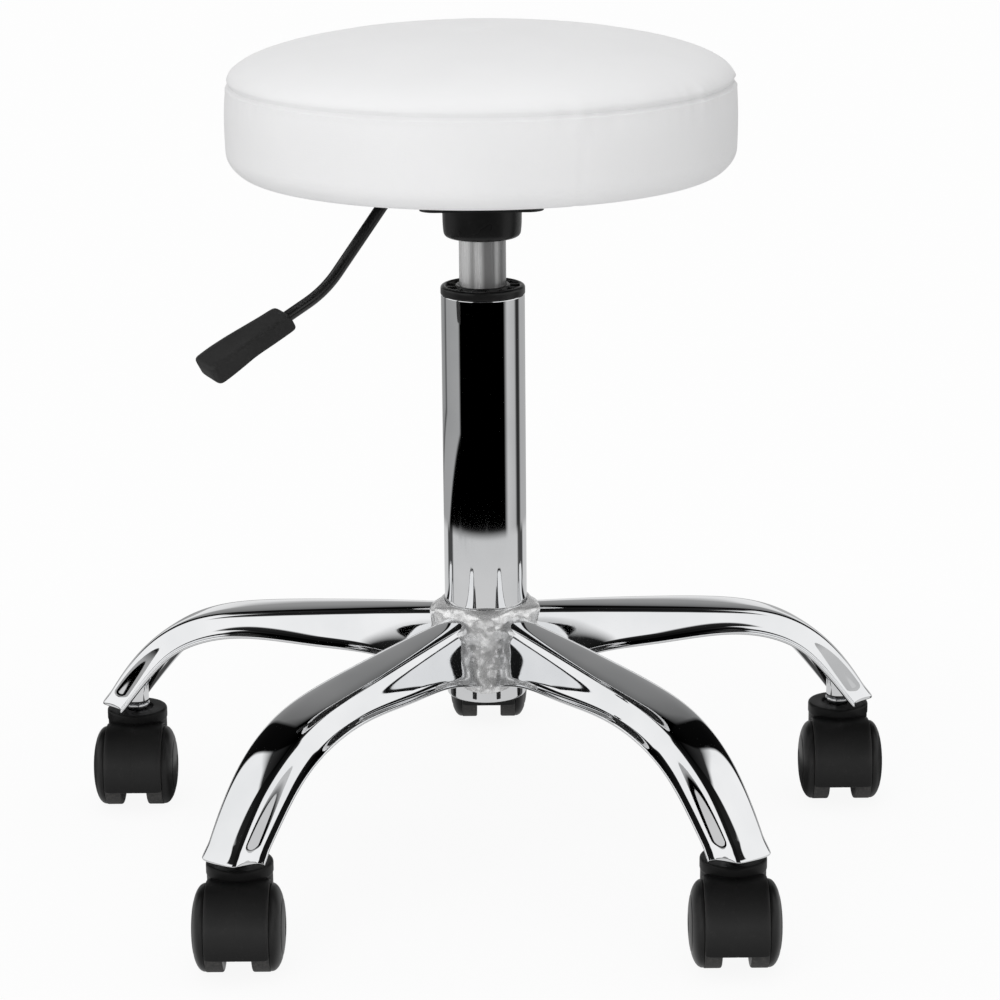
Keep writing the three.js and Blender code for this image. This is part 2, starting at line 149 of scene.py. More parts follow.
def rounded(corners, radii, steps=5):
    """An outline with eased inner corners: each is a quadratic Bezier that starts a radius before it."""
    corners = np.asarray(corners, float)
    t = np.linspace(0, 1, steps)[:, None]
    line = [corners[:1]]
    for before, corner, after, ease in zip(corners, corners[1:], corners[2:], radii):
        start = corner + (before - corner) * min(ease / np.linalg.norm(before - corner), 0.5)
        end = corner + (after - corner) * min(ease / np.linalg.norm(after - corner), 0.5)
        line.append((1 - t) ** 2 * start + 2 * t * (1 - t) * corner + t**2 * end)
    line.append(corners[-1:])
    return np.concatenate(line)


def lumps(points, size, seed, waves=40):
    """A soft random field about 1 high: the sum of cosines along random directions, each about size long."""
    source = np.random.default_rng(seed)
    turns = source.normal(size=(3, waves))
    turns *= 2 * math.pi / size / np.linalg.norm(turns, axis=0)
    turns *= source.uniform(0.6, 1.4, waves)
    phases = source.uniform(0, 2 * math.pi, waves)
    return np.cos(points @ turns + phases).sum(axis=-1) * math.sqrt(2 / waves)


# ---------------------------------------------------------------- meshes


def grid_faces(rows, columns, wrap_rows=False, wrap_columns=False):
    """Quads between neighbouring points of a grid, which may close on itself either way."""
    r, c = np.meshgrid(
        np.arange(rows if wrap_rows else rows - 1),
        np.arange(columns if wrap_columns else columns - 1),
        indexing="ij",
    )
    up, over = (r + 1) % rows, (c + 1) % columns
    corners = (r * columns + c, up * columns + c, up * columns + over, r * columns + over)
    return np.stack([corner.ravel() for corner in corners], axis=1)


def piece_from(name, shells, material, body, replaces=()):
    """One piece from a list of (points, faces), with doubles merged, faces outward and a material."""
    starts = np.cumsum([0] + [len(points) for points, _ in shells])
    points = np.concatenate([points for points, _ in shells])
    faces = np.concatenate([faces + start for (_, faces), start in zip(shells, starts)])
    mesh = bpy.data.meshes.new(name)
    mesh.from_pydata(points.tolist(), [], faces.tolist())
    work = bmesh.new()
    work.from_mesh(mesh)
    bmesh.ops.remove_doubles(work, verts=work.verts, dist=MERGE_DISTANCE)
    bmesh.ops.recalc_face_normals(work, faces=work.faces)
    work.to_mesh(mesh)
    work.free()
    mesh.shade_smooth()
    mesh.set_sharp_from_angle(angle=SHARP_EDGE)
    piece = bpy.data.objects.new(name, mesh)
    bpy.context.scene.collection.objects.link(piece)
    mesh.materials.append(material)
    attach(piece, body)
    if replaces:
        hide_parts(*replaces)
    return piece


def modifier(piece, kind, **settings):
    """Adds a modifier with these settings."""
    made = piece.modifiers.new(kind.title(), kind)
    for key, value in settings.items():
        setattr(made, key, value)
    return made


def circle(sides):
    """Angles evenly round a turn, as one row."""
    return np.linspace(0, 2 * math.pi, sides, endpoint=False)[None, :]


def about_z(r, angle, z):
    """Points (r cos a, r sin a, z) on a grid."""
    return np.stack([r * np.cos(angle), r * np.sin(angle), z + 0 * angle], axis=-1)


def about_x(r, angle, x):
    """Points (x, -r sin a, r cos a) on a grid."""
    return np.stack([x + 0 * angle, -r * np.sin(angle), r * np.cos(angle)], axis=-1)


def turned(profile, sides=96, swell=None):
    """A profile of (radius, height) carried round the vertical, as (points, faces).

    swell(angle, z, r) says how far each point of the grid moves outwards.
    """
    profile = np.asarray(profile, float)
    angle = circle(sides)
    r, z = profile[:, :1], profile[:, 1:]
    if swell is not None:
        r = r + swell(angle, z, r)
    points = about_z(r, angle, z)
    ends_meet = np.allclose(profile[0], profile[-1])
    rows = len(profile) - 1 if ends_meet else len(profile)
    return points[:rows].reshape(-1, 3), grid_faces(rows, sides, ends_meet, True)


def lathed(corners, radii, steps, sides):
    """A closed ring turned from the corners of its section, eased by radii in millimetres."""
    return turned(loop(corners, np.array(radii) * MM, steps), sides)


def capped(rings):
    """A grid of closed rings, with a point at the middle of each end ring to close it, as (points, faces)."""
    ends = rings[[0, -1]].mean(axis=1, keepdims=True).repeat(rings.shape[1], axis=1)
    rings = np.concatenate([ends[:1], rings, ends[1:]])
    return rings.reshape(-1, 3), grid_faces(*rings.shape[:2], False, True)


def outward(points):
    """The normal of a closed grid of rings at each of its points."""
    around = np.roll(points, -1, axis=1) - np.roll(points, 1, axis=1)
    normal = np.cross(around, np.gradient(points, axis=0))
    return normal / (np.linalg.norm(normal, axis=2)[..., None] + 1e-12)


def shares(count, length, wall):
    """Shares of a length from 0 to 1 that crowd at both ends, where a plate of that wall has round edges."""
    edge = wall / 2 * (1 - np.cos(np.linspace(0, math.pi / 2, 6))) / length
    return np.concatenate([edge[:-1], np.linspace(edge[-1], 1 - edge[-1], count), 1 - edge[-2::-1]])


def plate(points, wall):
    """A closed plate just below a grid, as (points, faces), with half-round edges.

    It is the middle surface plus and minus its normal times (wall / 2) sqrt(1 - t^2), where t falls from
    1 at a border to 0 at half a wall's distance from it.
    """
    along, over = np.gradient(points, axis=0), np.gradient(points, axis=1)
    normal = np.cross(along, over)
    normal /= np.linalg.norm(normal, axis=2)[..., None]
    away = np.inf
    for axis in (0, 1):
        steps = np.linalg.norm(np.diff(points, axis=axis), axis=2)
        gone = np.cumsum(steps, axis=axis)
        gone = np.insert(gone, 0, 0, axis=axis)
        away = np.minimum(away, np.minimum(gone, np.take(gone, [-1], axis=axis) - gone))
    t = np.clip(1 - away / (wall / 2), 0, 1)
    half = (wall / 2 * np.sqrt(1 - t * t))[..., None]
    half[[0, -1]] = 0
    half[:, [0, -1]] = 0
    middle_points = points - normal * wall / 2
    sides = [(middle_points + side * normal * half).reshape(-1, 3) for side in (1, -1)]
    faces = grid_faces(*points.shape[:2])
    return np.concatenate(sides), np.concatenate([faces, faces + len(sides[0])])


def loop(corners, radii, steps=5):
    """A closed outline with eased corners, which starts and ends in the middle of its first side."""
    corners = np.asarray(corners, float)
    start = (corners[0] + corners[1]) / 2
    ring = np.concatenate([[start], corners[1:], corners[:1], [start]])
    return rounded(ring, [*radii[1:], radii[0]], steps)


def tube(path, r, sides=24):
    """A round bar along a path in one vertical plane, with closed ends.

    A point is p + r (n cos a + b sin a): n is across the path in its plane and b is level.
    """
    along = np.gradient(path, axis=0)
    along /= np.linalg.norm(along, axis=1)[:, None]
    level = np.cross(along, [0, 0, 1])
    level /= np.linalg.norm(level, axis=1)[:, None]
    upward = np.cross(level, along)
    angle = circle(sides)[..., None]
    return capped(path[:, None] + r * (upward[:, None] * np.cos(angle) + level[:, None] * np.sin(angle)))


def laid_over(shell):
    """A shape made about the vertical, laid over so that its axis is +X."""
    points, faces = shell
    return points[:, [2, 0, 1]], faces


def moved(shell, offset):
    """A shape moved by offset."""
    points, faces = shell
    return points + offset, faces


def spun(shell, degrees):
    """A shape turned about the column's axis."""
    points, faces = shell
    return points @ np.array(Matrix.Rotation(math.radians(degrees), 3, "Z")).T, faces


# ---------------------------------------------------------------- finishes


class Nodes:
    """A node tree, with a short way to add each kind of node that the stool and its stage use."""

    def __init__(self, tree):
        self.tree = tree

    def node(self, kind, feeds=None, **settings):
        """A node with its settings, and its inputs fed by values or by other nodes' outputs."""
        node = self.tree.nodes.new("ShaderNode" + kind)
        for key, value in settings.items():
            setattr(node, key, value)
        for socket, value in (feeds or {}).items():
            if isinstance(value, bpy.types.NodeSocket):
                self.tree.links.new(value, node.inputs[socket])
            else:
                node.inputs[socket].default_value = value
        return node

    def between(self, value, start, end, least, most):
        """The value's range from start to end, mapped to least to most."""
        feeds = {"Value": value, "From Min": start, "From Max": end, "To Min": least, "To Max": most}
        return self.node("MapRange", feeds).outputs[0]

    def maths(self, operation, first, second=0.0):
        """One step of arithmetic."""
        return self.node("Math", {0: first, 1: second}, operation=operation).outputs[0]

    def blend(self, share, first, second):
        """A colour between two others."""
        feeds = {"Factor": share, "A": first, "B": second}
        return self.node("Mix", feeds, data_type="RGBA").outputs["Result"]

    def ramp(self, value, stops):
        """A grey that follows value through stops of (position, brightness)."""
        node = self.node("ValToRGB", {"Fac": value})
        elements = node.color_ramp.elements
        for _ in range(len(stops) - 2):
            elements.new(0.5)
        for element, (position, brightness) in zip(elements, sorted(stops)):
            element.position = position
            element.color = grey(brightness)
        return node.outputs["Color"]

    def cover(self, surface, share, layer):
        """A surface with another mixed over it."""
        return self.node("MixShader", {0: share, 1: surface, 2: layer}).outputs[0]


class Finish(Nodes):
    """One material: a Principled shader and the nodes that feed it, on Object coordinates."""

    def __init__(self, name, **sockets):
        self.material = bpy.data.materials.new(name)
        self.material.use_nodes = True
        super().__init__(self.material.node_tree)
        self.shader = self.tree.nodes["Principled BSDF"]
        self.place = self.node("TexCoord").outputs["Object"]
        for socket, value in sockets.items():
            self.shader.inputs[socket.replace("_", " ")].default_value = value

    def stretched(self, x, y, z):
        """The Object coordinates with each axis scaled."""
        return self.node("Mapping", {"Vector": self.place, "Scale": (x, y, z)}).outputs[0]

    def noise(self, scale, detail=3, roughness=0.5, place=None):
        """A cloudy pattern from 0 to 1."""
        feeds = {"Vector": place or self.place, "Scale": scale, "Detail": detail, "Roughness": roughness}
        return self.node("TexNoise", feeds).outputs["Fac"]

    def cells(self, scale, feature="F1"):
        """The distance to the nearest of scattered points, or to the edge between their cells."""
        feeds = {"Vector": self.place, "Scale": scale}
        return self.node("TexVoronoi", feeds, feature=feature).outputs["Distance"]

    def feed(self, socket, value):
        """Links a value to one of the shader's sockets."""
        self.tree.links.new(value, self.shader.inputs[socket])

    def bumps(self, *layers):
        """Relief from (height, strength, depth in metres) layers, each on top of the last."""
        normal = None
        for height, strength, depth in layers:
            feeds = {"Height": height, "Strength": strength, "Distance": depth}
            if normal is not None:
                feeds["Normal"] = normal
            normal = self.node("Bump", feeds).outputs[0]
        self.feed("Normal", normal)
        return self.material


def grey(value, warm=0.0):
    """A colour of that brightness, warmer or cooler by a little."""
    return (value * (1 + warm), value, value * (1 - warm), 1)


def chrome_finish(settings):
    """Bright plating: faint haze in patches, hairline rubs along the part and a barely waved surface."""
    finish = Finish("chrome", Metallic=1.0)
    haze = finish.noise(18, 4)
    rubs = finish.noise(240, 2, place=finish.stretched(1, 1, 0.12))
    clouds = finish.between(haze, 0.35, 0.7, 0, 1)
    finish.feed("Base Color", finish.blend(clouds, (*settings.chrome_tint, 1), grey(0.78, -0.015)))
    wear_and_painted_highlight = finish.between(rubs, 0.5, 0.75, 0, 1)
    worn = finish.maths("MULTIPLY", finish.between(haze, 0.4, 0.8, 0, 1), wear_and_painted_highlight)
    gloss = settings.chrome_roughness
    finish.feed("Roughness", finish.between(worn, 0, 1, gloss, gloss + 0.08))
    return finish.bumps((finish.noise(9, 1), 0.05, 0.0006))


def weld_finish():
    """Plating over a weld: duller than the legs', spotted and finely pitted."""
    finish = Finish("plated_weld", Metallic=0.62)
    spots = finish.noise(200, 3, 0.6)
    finish.feed("Base Color", finish.blend(finish.between(spots, 0.3, 0.6, 0, 1), grey(0.62), grey(0.95)))
    finish.feed("Roughness", finish.between(spots, 0.3, 0.7, 0.36, 0.2))
    pits = finish.between(finish.cells(520), 0.05, 0.4, 0, 1)
    return finish.bumps((pits, 0.2, 0.0002))


def satin_finish():
    """Ground steel: fine marks, and long dark bands along the bar that are painted reflections."""
    finish = Finish("satin_steel", Metallic=0.4)
    lines = finish.noise(900, 3, place=finish.stretched(1, 1, 0.02))
    # Long dark bands along the bar: a painted reflection.
    painted_reflection_bands = finish.noise(120, 1, place=finish.stretched(-1, 1, 0.01))
    base = finish.blend(lines, grey(0.72), grey(0.95))
    finish.feed("Base Color", finish.blend(finish.between(painted_reflection_bands, 0.42, 0.6, 0, 1), grey(0.3), base))
    finish.feed("Roughness", finish.between(lines, 0.3, 0.7, 0.2, 0.3))
    return finish.bumps((lines, 0.06, 0.0001))


def moulded_finish(name, shade, gloss, grain=900, relief=0.1, wear_and_painted_highlight=None):
    """Moulded plastic: a very fine spark-eroded grain, flow clouds in the gloss and dust in the low spots.

    Given a height, the plastic keeps its colour within 19 mm of it, a painted highlight band, and is painted
    much darker above and below it, a painted shade; the whole surface is then a little less glossy.
    """
    finish = Finish(name, IOR=1.5, Specular_IOR_Level=0.3 if wear_and_painted_highlight is None else 0.2)
    clouds = finish.noise(35, 2)
    dust = finish.between(finish.noise(300, 3, 0.7), 0.58, 0.8, 0, 0.35)
    base = finish.blend(clouds, grey(shade * 0.85), grey(shade * 1.2))
    base = finish.blend(dust, base, grey(shade * 2.2, 0.03))
    if wear_and_painted_highlight is not None:
        # A painted highlight band round the given height, with painted shade above and below it.
        level = finish.node("SeparateXYZ", {"Vector": finish.place}).outputs["Z"]
        off = finish.maths("ABSOLUTE", finish.maths("SUBTRACT", level, wear_and_painted_highlight))
        band = finish.between(off, 0.001, 0.019, 1, 0)
        base = finish.blend(band, grey(shade * 0.2), base)
    finish.feed("Base Color", base)
    finish.feed("Roughness", finish.between(clouds, 0.3, 0.7, gloss - 0.05, gloss + 0.07))
    return finish.bumps((finish.noise(grain, 2), relief, 0.0002))


def tread_finish():
    """The wheels' running band: dull, scuffed and lint-grey, with fine scratches round the wheel."""
    finish = Finish("wheel_tread", IOR=1.5)
    scuffs = finish.noise(420, 6, 0.75)
    rings = finish.noise(700, 2, place=finish.stretched(1, 0.08, 0.08))
    base = finish.blend(finish.between(scuffs, 0.42, 0.68, 0, 1), grey(0.016, 0.02), grey(0.06, 0.05))
    finish.feed("Base Color", base)
    finish.feed("Roughness", finish.between(scuffs, 0.3, 0.7, 0.55, 0.85))
    return finish.bumps((scuffs, 0.35, 0.0004), (rings, 0.15, 0.0002))


def painted_finish(name, shade, gloss):
    """Black enamel on steel: orange peel, and worn spots that show a little brighter."""
    finish = Finish(name, IOR=1.5, Coat_Weight=0.25, Coat_Roughness=0.2)
    wear_and_painted_highlight = finish.between(finish.noise(60, 3, 0.6), 0.62, 0.8, 0, 1)
    finish.feed("Base Color", finish.blend(wear_and_painted_highlight, grey(shade), grey(shade * 2.2)))
    finish.feed("Roughness", finish.between(finish.noise(90, 3), 0.3, 0.7, gloss - 0.06, gloss + 0.08))
    return finish.bumps((finish.noise(90, 1), 0.03, 0.0002))


def leatherette_finish(settings):
    """Coated cloth: a pebbled grain of creased cells, a soft sheen, faint clouds in the colour and dirt."""
    finish = Finish("leatherette", IOR=1.48, Sheen_Weight=0.08, Sheen_Roughness=0.5)
    creases = finish.between(finish.cells(900, "DISTANCE_TO_EDGE"), 0.0, 0.18, 0, 1)
    clouds = finish.noise(14, 3)
    dirt = finish.between(finish.noise(75, 6, 0.7), 0.6, 0.85, 0, 0.25)
    tint = np.array(settings.cover_tint)
    dark, pale, soiled = [(*np.minimum(tint * tone, 1).tolist(), 1) for tone in (0.97, 1.03, 0.93)]
    finish.feed("Base Color", finish.blend(dirt, finish.blend(clouds, dark, pale), soiled))
    finish.feed("Roughness", finish.between(creases, 0, 1, 0.62, 0.46))
    return finish.bumps((finish.noise(60, 4), 0.12, 0.0012), (creases, 0.22, 0.00012))


def plywood_finish():
    """Sanded ply: long wavering growth lines, darker pores, and thin stripes of veneer on the edge."""
    finish = Finish("plywood", IOR=1.45)
    drawn = finish.stretched(1.2, 4, 2)
    feeds = {"Vector": drawn, "Scale": 22, "Distortion": 7, "Detail": 4}
    rings = finish.node("TexWave", feeds, bands_direction="Y").outputs["Fac"]
    pores = finish.noise(600, 3, place=finish.stretched(0.04, 1, 1))
    base = finish.blend(rings, (0.36, 0.22, 0.105, 1), (0.56, 0.38, 0.2, 1))
    open_pores = finish.between(pores, 0.5, 0.75, 0, 0.6)
    finish.feed("Base Color", finish.blend(open_pores, base, (0.2, 0.11, 0.05, 1)))
    finish.feed("Roughness", finish.between(pores, 0.3, 0.7, 0.6, 0.8))
    return finish.bumps((pores, 0.25, 0.0003))


def cloth_finish():
    """Black spun-bonded cloth: matted fibres and a grid of bonding dots."""
    finish = Finish("dust_cloth", Roughness=0.9)
    fibres = finish.noise(900, 4, 0.7)
    dots = finish.between(finish.cells(700), 0.15, 0.35, 0, 1)
    finish.feed("Base Color", finish.blend(fibres, grey(0.008), grey(0.03)))
    return finish.bumps((fibres, 0.4, 0.0003), (dots, 0.3, 0.0002))


def zinc_finish():
    """Zinc-plated screws: bluish, spangled and a little dull."""
    finish = Finish("zinc", Metallic=1.0)
    spangle = finish.cells(260)
    finish.feed("Base Color", finish.blend(spangle, grey(0.5, -0.04), grey(0.72, 0.02)))
    finish.feed("Roughness", finish.between(spangle, 0, 0.8, 0.25, 0.45))
    return finish.bumps((finish.noise(700, 3), 0.15, 0.0002))


def rubber_finish():
    """Buffer rubber: matt, with a faint bloom."""
    finish = Finish("rubber")
    bloom = finish.noise(120, 5, 0.7)
    finish.feed("Base Color", finish.blend(bloom, grey(0.012), grey(0.035)))
    finish.feed("Roughness", finish.between(bloom, 0.3, 0.7, 0.75, 0.95))
    return finish.bumps((bloom, 0.3, 0.0004))


MATERIALS = {}


def make_finishes(scene):
    """Fills MATERIALS with every finish of the stool."""
    nylon = scene.stool_casters.nylon_shade
    MATERIALS.update(
        chrome=chrome_finish(scene.stool_base),
        weld=weld_finish(),
        satin=satin_finish(),
        # The hoods and wheels carry a painted highlight band at 33 and 31 mm up, with painted shade above and
        # below it.
        hood=moulded_finish("hood_nylon", nylon, 0.42, wear_and_painted_highlight=33 * MM),
        wheel=moulded_finish("wheel_nylon", nylon * 0.8, 0.34, wear_and_painted_highlight=31 * MM),
        tread=tread_finish(),
        bush=moulded_finish("bush_nylon", nylon * 0.5, 0.3),
        grip=moulded_finish("grip_plastic", scene.stool_casters.grip_shade, 0.55, grain=1400, relief=0.3),
        lever=painted_finish("lever_enamel", 0.006, 0.32),
        plate=painted_finish("plate_enamel", 0.012, 0.45),
        leatherette=leatherette_finish(scene.stool_seat),
        plywood=plywood_finish(),
        zinc=zinc_finish(),
        cloth=cloth_finish(),
        rubber=rubber_finish(),
    )


CARRIED_OVER = {
    "satin": ["piston_rod", "release_pin", "rod_clip", "thrust_washer", "thrust_bearing", "lever_pivot_pin"]
    + [f"caster_axle_{name}" for name in LEGS],
    "plate": ["taper_socket", "mechanism_housing", "mounting_plate"],
    "plywood": ["seat_board"],
    "rubber": ["rubber_buffer"],
    "zinc": [f"seat_bolt_{end}_{side}" for end in ("front", "rear") for side in ("left", "right")],
}


# ---------------------------------------------------------------- cushion

SEAM_R = 150 * MM
CROWN_POWER = 2.2
BOTTOM_ROUND = 14 * MM
COVER_THICK = 1.4 * MM
COVER_SIDES = 360
TUCK_R = 124 * MM
BOARD_GAP = 0.6 * MM
JOIN_DEGREES = -68
STAPLES = 28
STAPLE_THICK = 0.5 * MM
SWELLING_FRAMES = 20
PROBE = 20 * MM


def cushion_outline(inset=0.0):
    """The seat's outline from its underside out and up to the middle of the crown, shrunk by inset.

    The crown is z = seam + rise (1 - (r / R)^p)^(1 / p). The side is a spline that bulges between the
    rounded lower edge and the seam. Returns the points and the row of the seam.
    """
    seam_z = high("seat_cover_band")[2]
    bottom, top = low("seat_cover_band")[2], high("seat_cover_top")[2]
    side_r = radius("seat_cover_band")
    turn = np.linspace(-math.pi / 2, 0, 15)
    ease = BOTTOM_ROUND - inset
    centre = (side_r - 0.3 * MM - BOTTOM_ROUND, bottom + BOTTOM_ROUND)
    arc = np.stack([centre[0] + ease * np.cos(turn), centre[1] + ease * np.sin(turn)], axis=1)
    knots = [arc[-1], (side_r - inset, bottom + 28 * MM), (side_r - 0.5 * MM - inset, bottom + 42 * MM)]
    knots.append((SEAM_R - inset, seam_z))
    side = spline(knots, np.linspace(0, 1, 34))[1:]
    turn = np.linspace(0, math.pi / 2, 74)[1:]
    crown_r = (SEAM_R - inset) * np.cos(turn) ** (2 / CROWN_POWER)
    crown_z = seam_z + (top - inset - seam_z) * np.sin(turn) ** (2 / CROWN_POWER)
    crown = np.stack([crown_r, crown_z], axis=1)
    crown[-1, 0] = 0
    outline = np.concatenate([arc, side, crown])
    return outline, len(arc) + len(side) - 1


def puffed_core(settings):
    """The foam body swollen by a cloth simulation, as an object to copy its surface from.

    It starts a little smaller than the cover. Its lower edge, the ring at the seam and the middle of its
    underside are held.
    """
    outline, seam = cushion_outline(settings.core_inset)
    board_top = high("seat_board")[2] + BOARD_GAP
    shell = turned([(0, board_top), (outline[0, 0], board_top), *outline[4:]], 120)
    core = piece_from("cushion_core", [shell], MATERIALS["leatherette"], "seat")
    modifier(core, "REMESH", mode="VOXEL", voxel_size=settings.voxel)
    settle(core)
    rows = np.empty(len(core.data.vertices) * 3)
    core.data.vertices.foreach_get("co", rows)
    rows = rows.reshape(-1, 3)
    reach = np.hypot(rows[:, 0], rows[:, 1])
    held = np.maximum(1 - smooth(rows[:, 2], outline[14, 1], outline[14, 1] + 8 * MM), reach < 20 * MM)
    near_seam = np.hypot(reach - outline[seam, 0], rows[:, 2] - outline[seam, 1])
    held = np.maximum(held, 1 - smooth(near_seam, 3 * MM, 9 * MM))
    group = core.vertex_groups.new(name="held")
    for index in np.flatnonzero(held > 0.02):
        group.add([int(index)], float(held[index]), "REPLACE")
    cloth = modifier(core, "CLOTH")
    cloth.settings.vertex_group_mass = "held"
    cloth.settings.use_pressure = True
    cloth.settings.uniform_pressure_force = settings.pressure
    cloth.settings.effector_weights.gravity = 0
    cloth.settings.tension_stiffness = 20
    cloth.settings.quality = 5
    cloth.collision_settings.use_collision = False
    cloth.point_cache.frame_start = 1
    cloth.point_cache.frame_end = SWELLING_FRAMES
    for number in range(1, SWELLING_FRAMES + 1):
        bpy.context.scene.frame_set(number)
    settle(core)
    bpy.context.scene.frame_set(1)
    return core


def settle(piece):
    """Replaces a piece's mesh by what its modifiers make of it, and drops them."""
    depsgraph = bpy.context.evaluated_depsgraph_get()
    made = bpy.data.meshes.new_from_object(piece.evaluated_get(depsgraph), depsgraph=depsgraph)
    piece.modifiers.clear()
    piece.data = made


def follow(points, normal, core, most):
    """How far each point of a grid is from the core's surface along its own normal, at most most."""
    surface = BVHTree.FromObject(core, bpy.context.evaluated_depsgraph_get())
    shift = np.zeros(points.shape[:2])
    for r, c in np.ndindex(shift.shape):
        start = Vector(points[r, c] + normal[r, c] * PROBE)
        place, _, _, away = surface.ray_cast(start, Vector(-normal[r, c]), 2.5 * PROBE)
        if place is not None:
            shift[r, c] = PROBE - away
    return np.clip(shift, -most, most)


class StoolSeat(bpy.types.PropertyGroup):
    """The cushion's sizes and colour."""

    cover_tint: bpy.props.FloatVectorProperty(
        name="Cover colour", description="Colour of the leatherette", subtype="COLOR",
        size=3, default=(0.79, 0.79, 0.795), min=0, max=1,
    )
    core_inset: bpy.props.FloatProperty(
        name="Core inset", description="How much smaller the foam starts before it swells",
        default=2.5 * MM, unit="LENGTH",
    )
    voxel: bpy.props.FloatProperty(
        name="Remesh size", description="Voxel size of the simulated body", default=5 * MM, unit="LENGTH"
    )
    pressure: bpy.props.FloatProperty(
        name="Pressure", description="Pressure that swells the cover", default=4.0
    )
    cap: bpy.props.FloatProperty(
        name="Greatest swell", description="Furthest that the cover may leave its outline",
        default=1.2 * MM, unit="LENGTH",
    )
    seam_depth: bpy.props.FloatProperty(
        name="Seam depth", description="Depth of the valley at the seam", default=1.8 * MM, unit="LENGTH"
    )
    pucker: bpy.props.FloatProperty(
        name="Pucker", description="Height of the small gathers along the seam",
        default=0.35 * MM, unit="LENGTH",
    )


def cushion_shell(settings):
    """The cover's whole surface as a grid: outline by angle, with seam, gathers, band join and swell.

    The seam is a valley, depth exp(-(d / w)^2), with d the distance along the outline, and a narrow welt
    just below it. The gathers are a random field of the angle that dies out away from the seam.
    """
    outline, seam = cushion_outline()
    angle = circle(COVER_SIDES)
    points = about_z(outline[:, :1], angle, outline[:, 1:])
    normal = outward(points)
    shift = np.zeros(points.shape[:2])
    core = puffed_core(settings)
    shift = follow(points, normal, core, settings.cap)
    bpy.data.objects.remove(core)
    normal[-1] = (0, 0, 1)
    for _ in range(4):
        shift = (shift + np.roll(shift, 1, 1) + np.roll(shift, -1, 1)) / 3
        shift[1:-1] = (shift[:-2] + shift[1:-1] + shift[2:]) / 3
    along = lengths(outline)
    away = (along - along[seam])[:, None]
    shift *= smooth(along, 0, 12 * MM)[:, None]
    around = about_z(1, angle, 0)
    gather = lumps(around, 0.05, 5) + 0.6 * lumps(around, 0.12, 6)
    local = 0.55 + 0.45 * np.clip(lumps(around, 0.8, 7), -1, 1)
    valley = settings.seam_depth * (0.7 + 0.3 * local) * np.exp(-((away / (1.7 * MM)) ** 2))
    welt = 0.45 * MM * np.exp(-(((away + 2.6 * MM) / (0.9 * MM)) ** 2))
    soft = settings.pucker * gather * local * np.exp(-((np.abs(away) / (9 * MM)) ** 1.5))
    shift = shift - valley + welt + soft
    join = np.angle(np.exp(1j * (angle - math.radians(JOIN_DEGREES)))) * SEAM_R
    shift -= 0.35 * MM * np.exp(-((join / (1.0 * MM)) ** 2)) * smooth(-away, -0.5 * MM, 2 * MM)
    shift[-1] = shift[-1].mean()
    return points + normal * shift[..., None], outline


class STOOL_OT_cushion(bpy.types.Operator):
    """Makes the round cushion, with its crown, band, seam and the edge tucked under the board"""

    bl_idname = "stool.cushion"
    bl_label = "Cushion"

    def execute(self, context):
        outer, outline = cushion_shell(context.scene.stool_seat)
        bottom = outline[0, 1]
        board_r = radius("seat_board") + 0.5 * MM
        board_top = high("seat_board")[2] + BOARD_GAP
        inside = bottom + COVER_THICK
        tuck = [
            (0, board_top), (board_r, board_top), (board_r, inside), (TUCK_R, inside),
            (TUCK_R - 0.5 * MM, bottom + COVER_THICK / 2), (TUCK_R, bottom), outline[0],
        ]
        inner = rounded(tuck, np.array([1, 1, 0.1, 0.3, 0.3]) * MM, 4)
        under, _ = turned(inner[:-1], COVER_SIDES)
        points = np.concatenate([under, outer.reshape(-1, 3)])
        faces = grid_faces(len(points) // COVER_SIDES, COVER_SIDES, False, True)
        cushion = piece_from(
            "seat_cushion", [(points, faces)], MATERIALS["leatherette"], "seat",
            ["seat_foam", "seat_cover_top", "seat_cover_band"],
        )
        self.dust_cloth()
        self.staples()
        return {"FINISHED"}

    def dust_cloth(self):
        """The black cloth under the board, inside the tucked edge: a thin disc with shallow wrinkles."""
        level = (high("mounting_plate")[2] + low("seat_board")[2]) / 2 + 0.25 * MM
        r = np.linspace(0, TUCK_R - 0.8 * MM, 60)
        r = np.concatenate([r, r[::-1]])[:, None]
        half_thick = 0.2 * MM * np.repeat([-1, 1], 60)[:, None]
        points = about_z(r, circle(180), level + 0 * r)
        wrinkle = 0.35 * MM * lumps(points, 45 * MM, 21) * smooth(r, 85 * MM, 110 * MM)
        points[..., 2] = level + half_thick + np.clip(wrinkle, -0.6 * MM, 0.5 * MM)
        shell = (points.reshape(-1, 3), grid_faces(*points.shape[:2], False, True))
        piece_from("dust_cloth", [shell], MATERIALS["cloth"], "seat")

    def staples(self):
        """The staples that hold the tucked edge: each a flat wire with bent ends, and each a little askew."""
        x, z = rounded([(-5, 0.05), (-5, -0.55), (5, -0.55), (5, 0.05)], [0.4, 0.4], 4).T * MM
        y = 0.35 * MM + 0 * x
        section = ((-y, z), (y, z), (y, z + STAPLE_THICK), (-y, z + STAPLE_THICK))
        wire = np.stack([np.stack([x, off, level], axis=-1) for off, level in section])
        staple = (wire.reshape(-1, 3), grid_faces(4, len(x), True, False))
        staple = moved(staple, (0, TUCK_R + 5 * MM, low("seat_cover_band")[2] + 0.1 * MM))
        askew = [number * 360 / STAPLES + 1.5 * math.sin(number * 2.4) for number in range(STAPLES)]
        shells = [spun(staple, degrees) for degrees in askew]
        piece_from("cover_staples", shells, MATERIALS["zinc"], "seat")


# ---------------------------------------------------------------- legs and hub

# Each row: crown (distance, height), lower edge (distance, height), half widths at the two, in millimetres
LEG_STATIONS = np.array(
    [
        (26, 146, 26, 105, 10.5, 18),
        (60, 143.5, 60, 115.5, 12.5, 21),
        (105, 139.5, 103, 119.5, 14.5, 24),
        (150, 134.5, 146, 121, 15.5, 25),
        (190, 125.5, 180, 114.5, 15.2, 24),
        (218, 109, 204, 101, 14.5, 22.5),
        (238, 88, 222, 82, 13.5, 21),
        (255.5, 62, 239, 60.5, 12.3, 19.5),
    ]
)
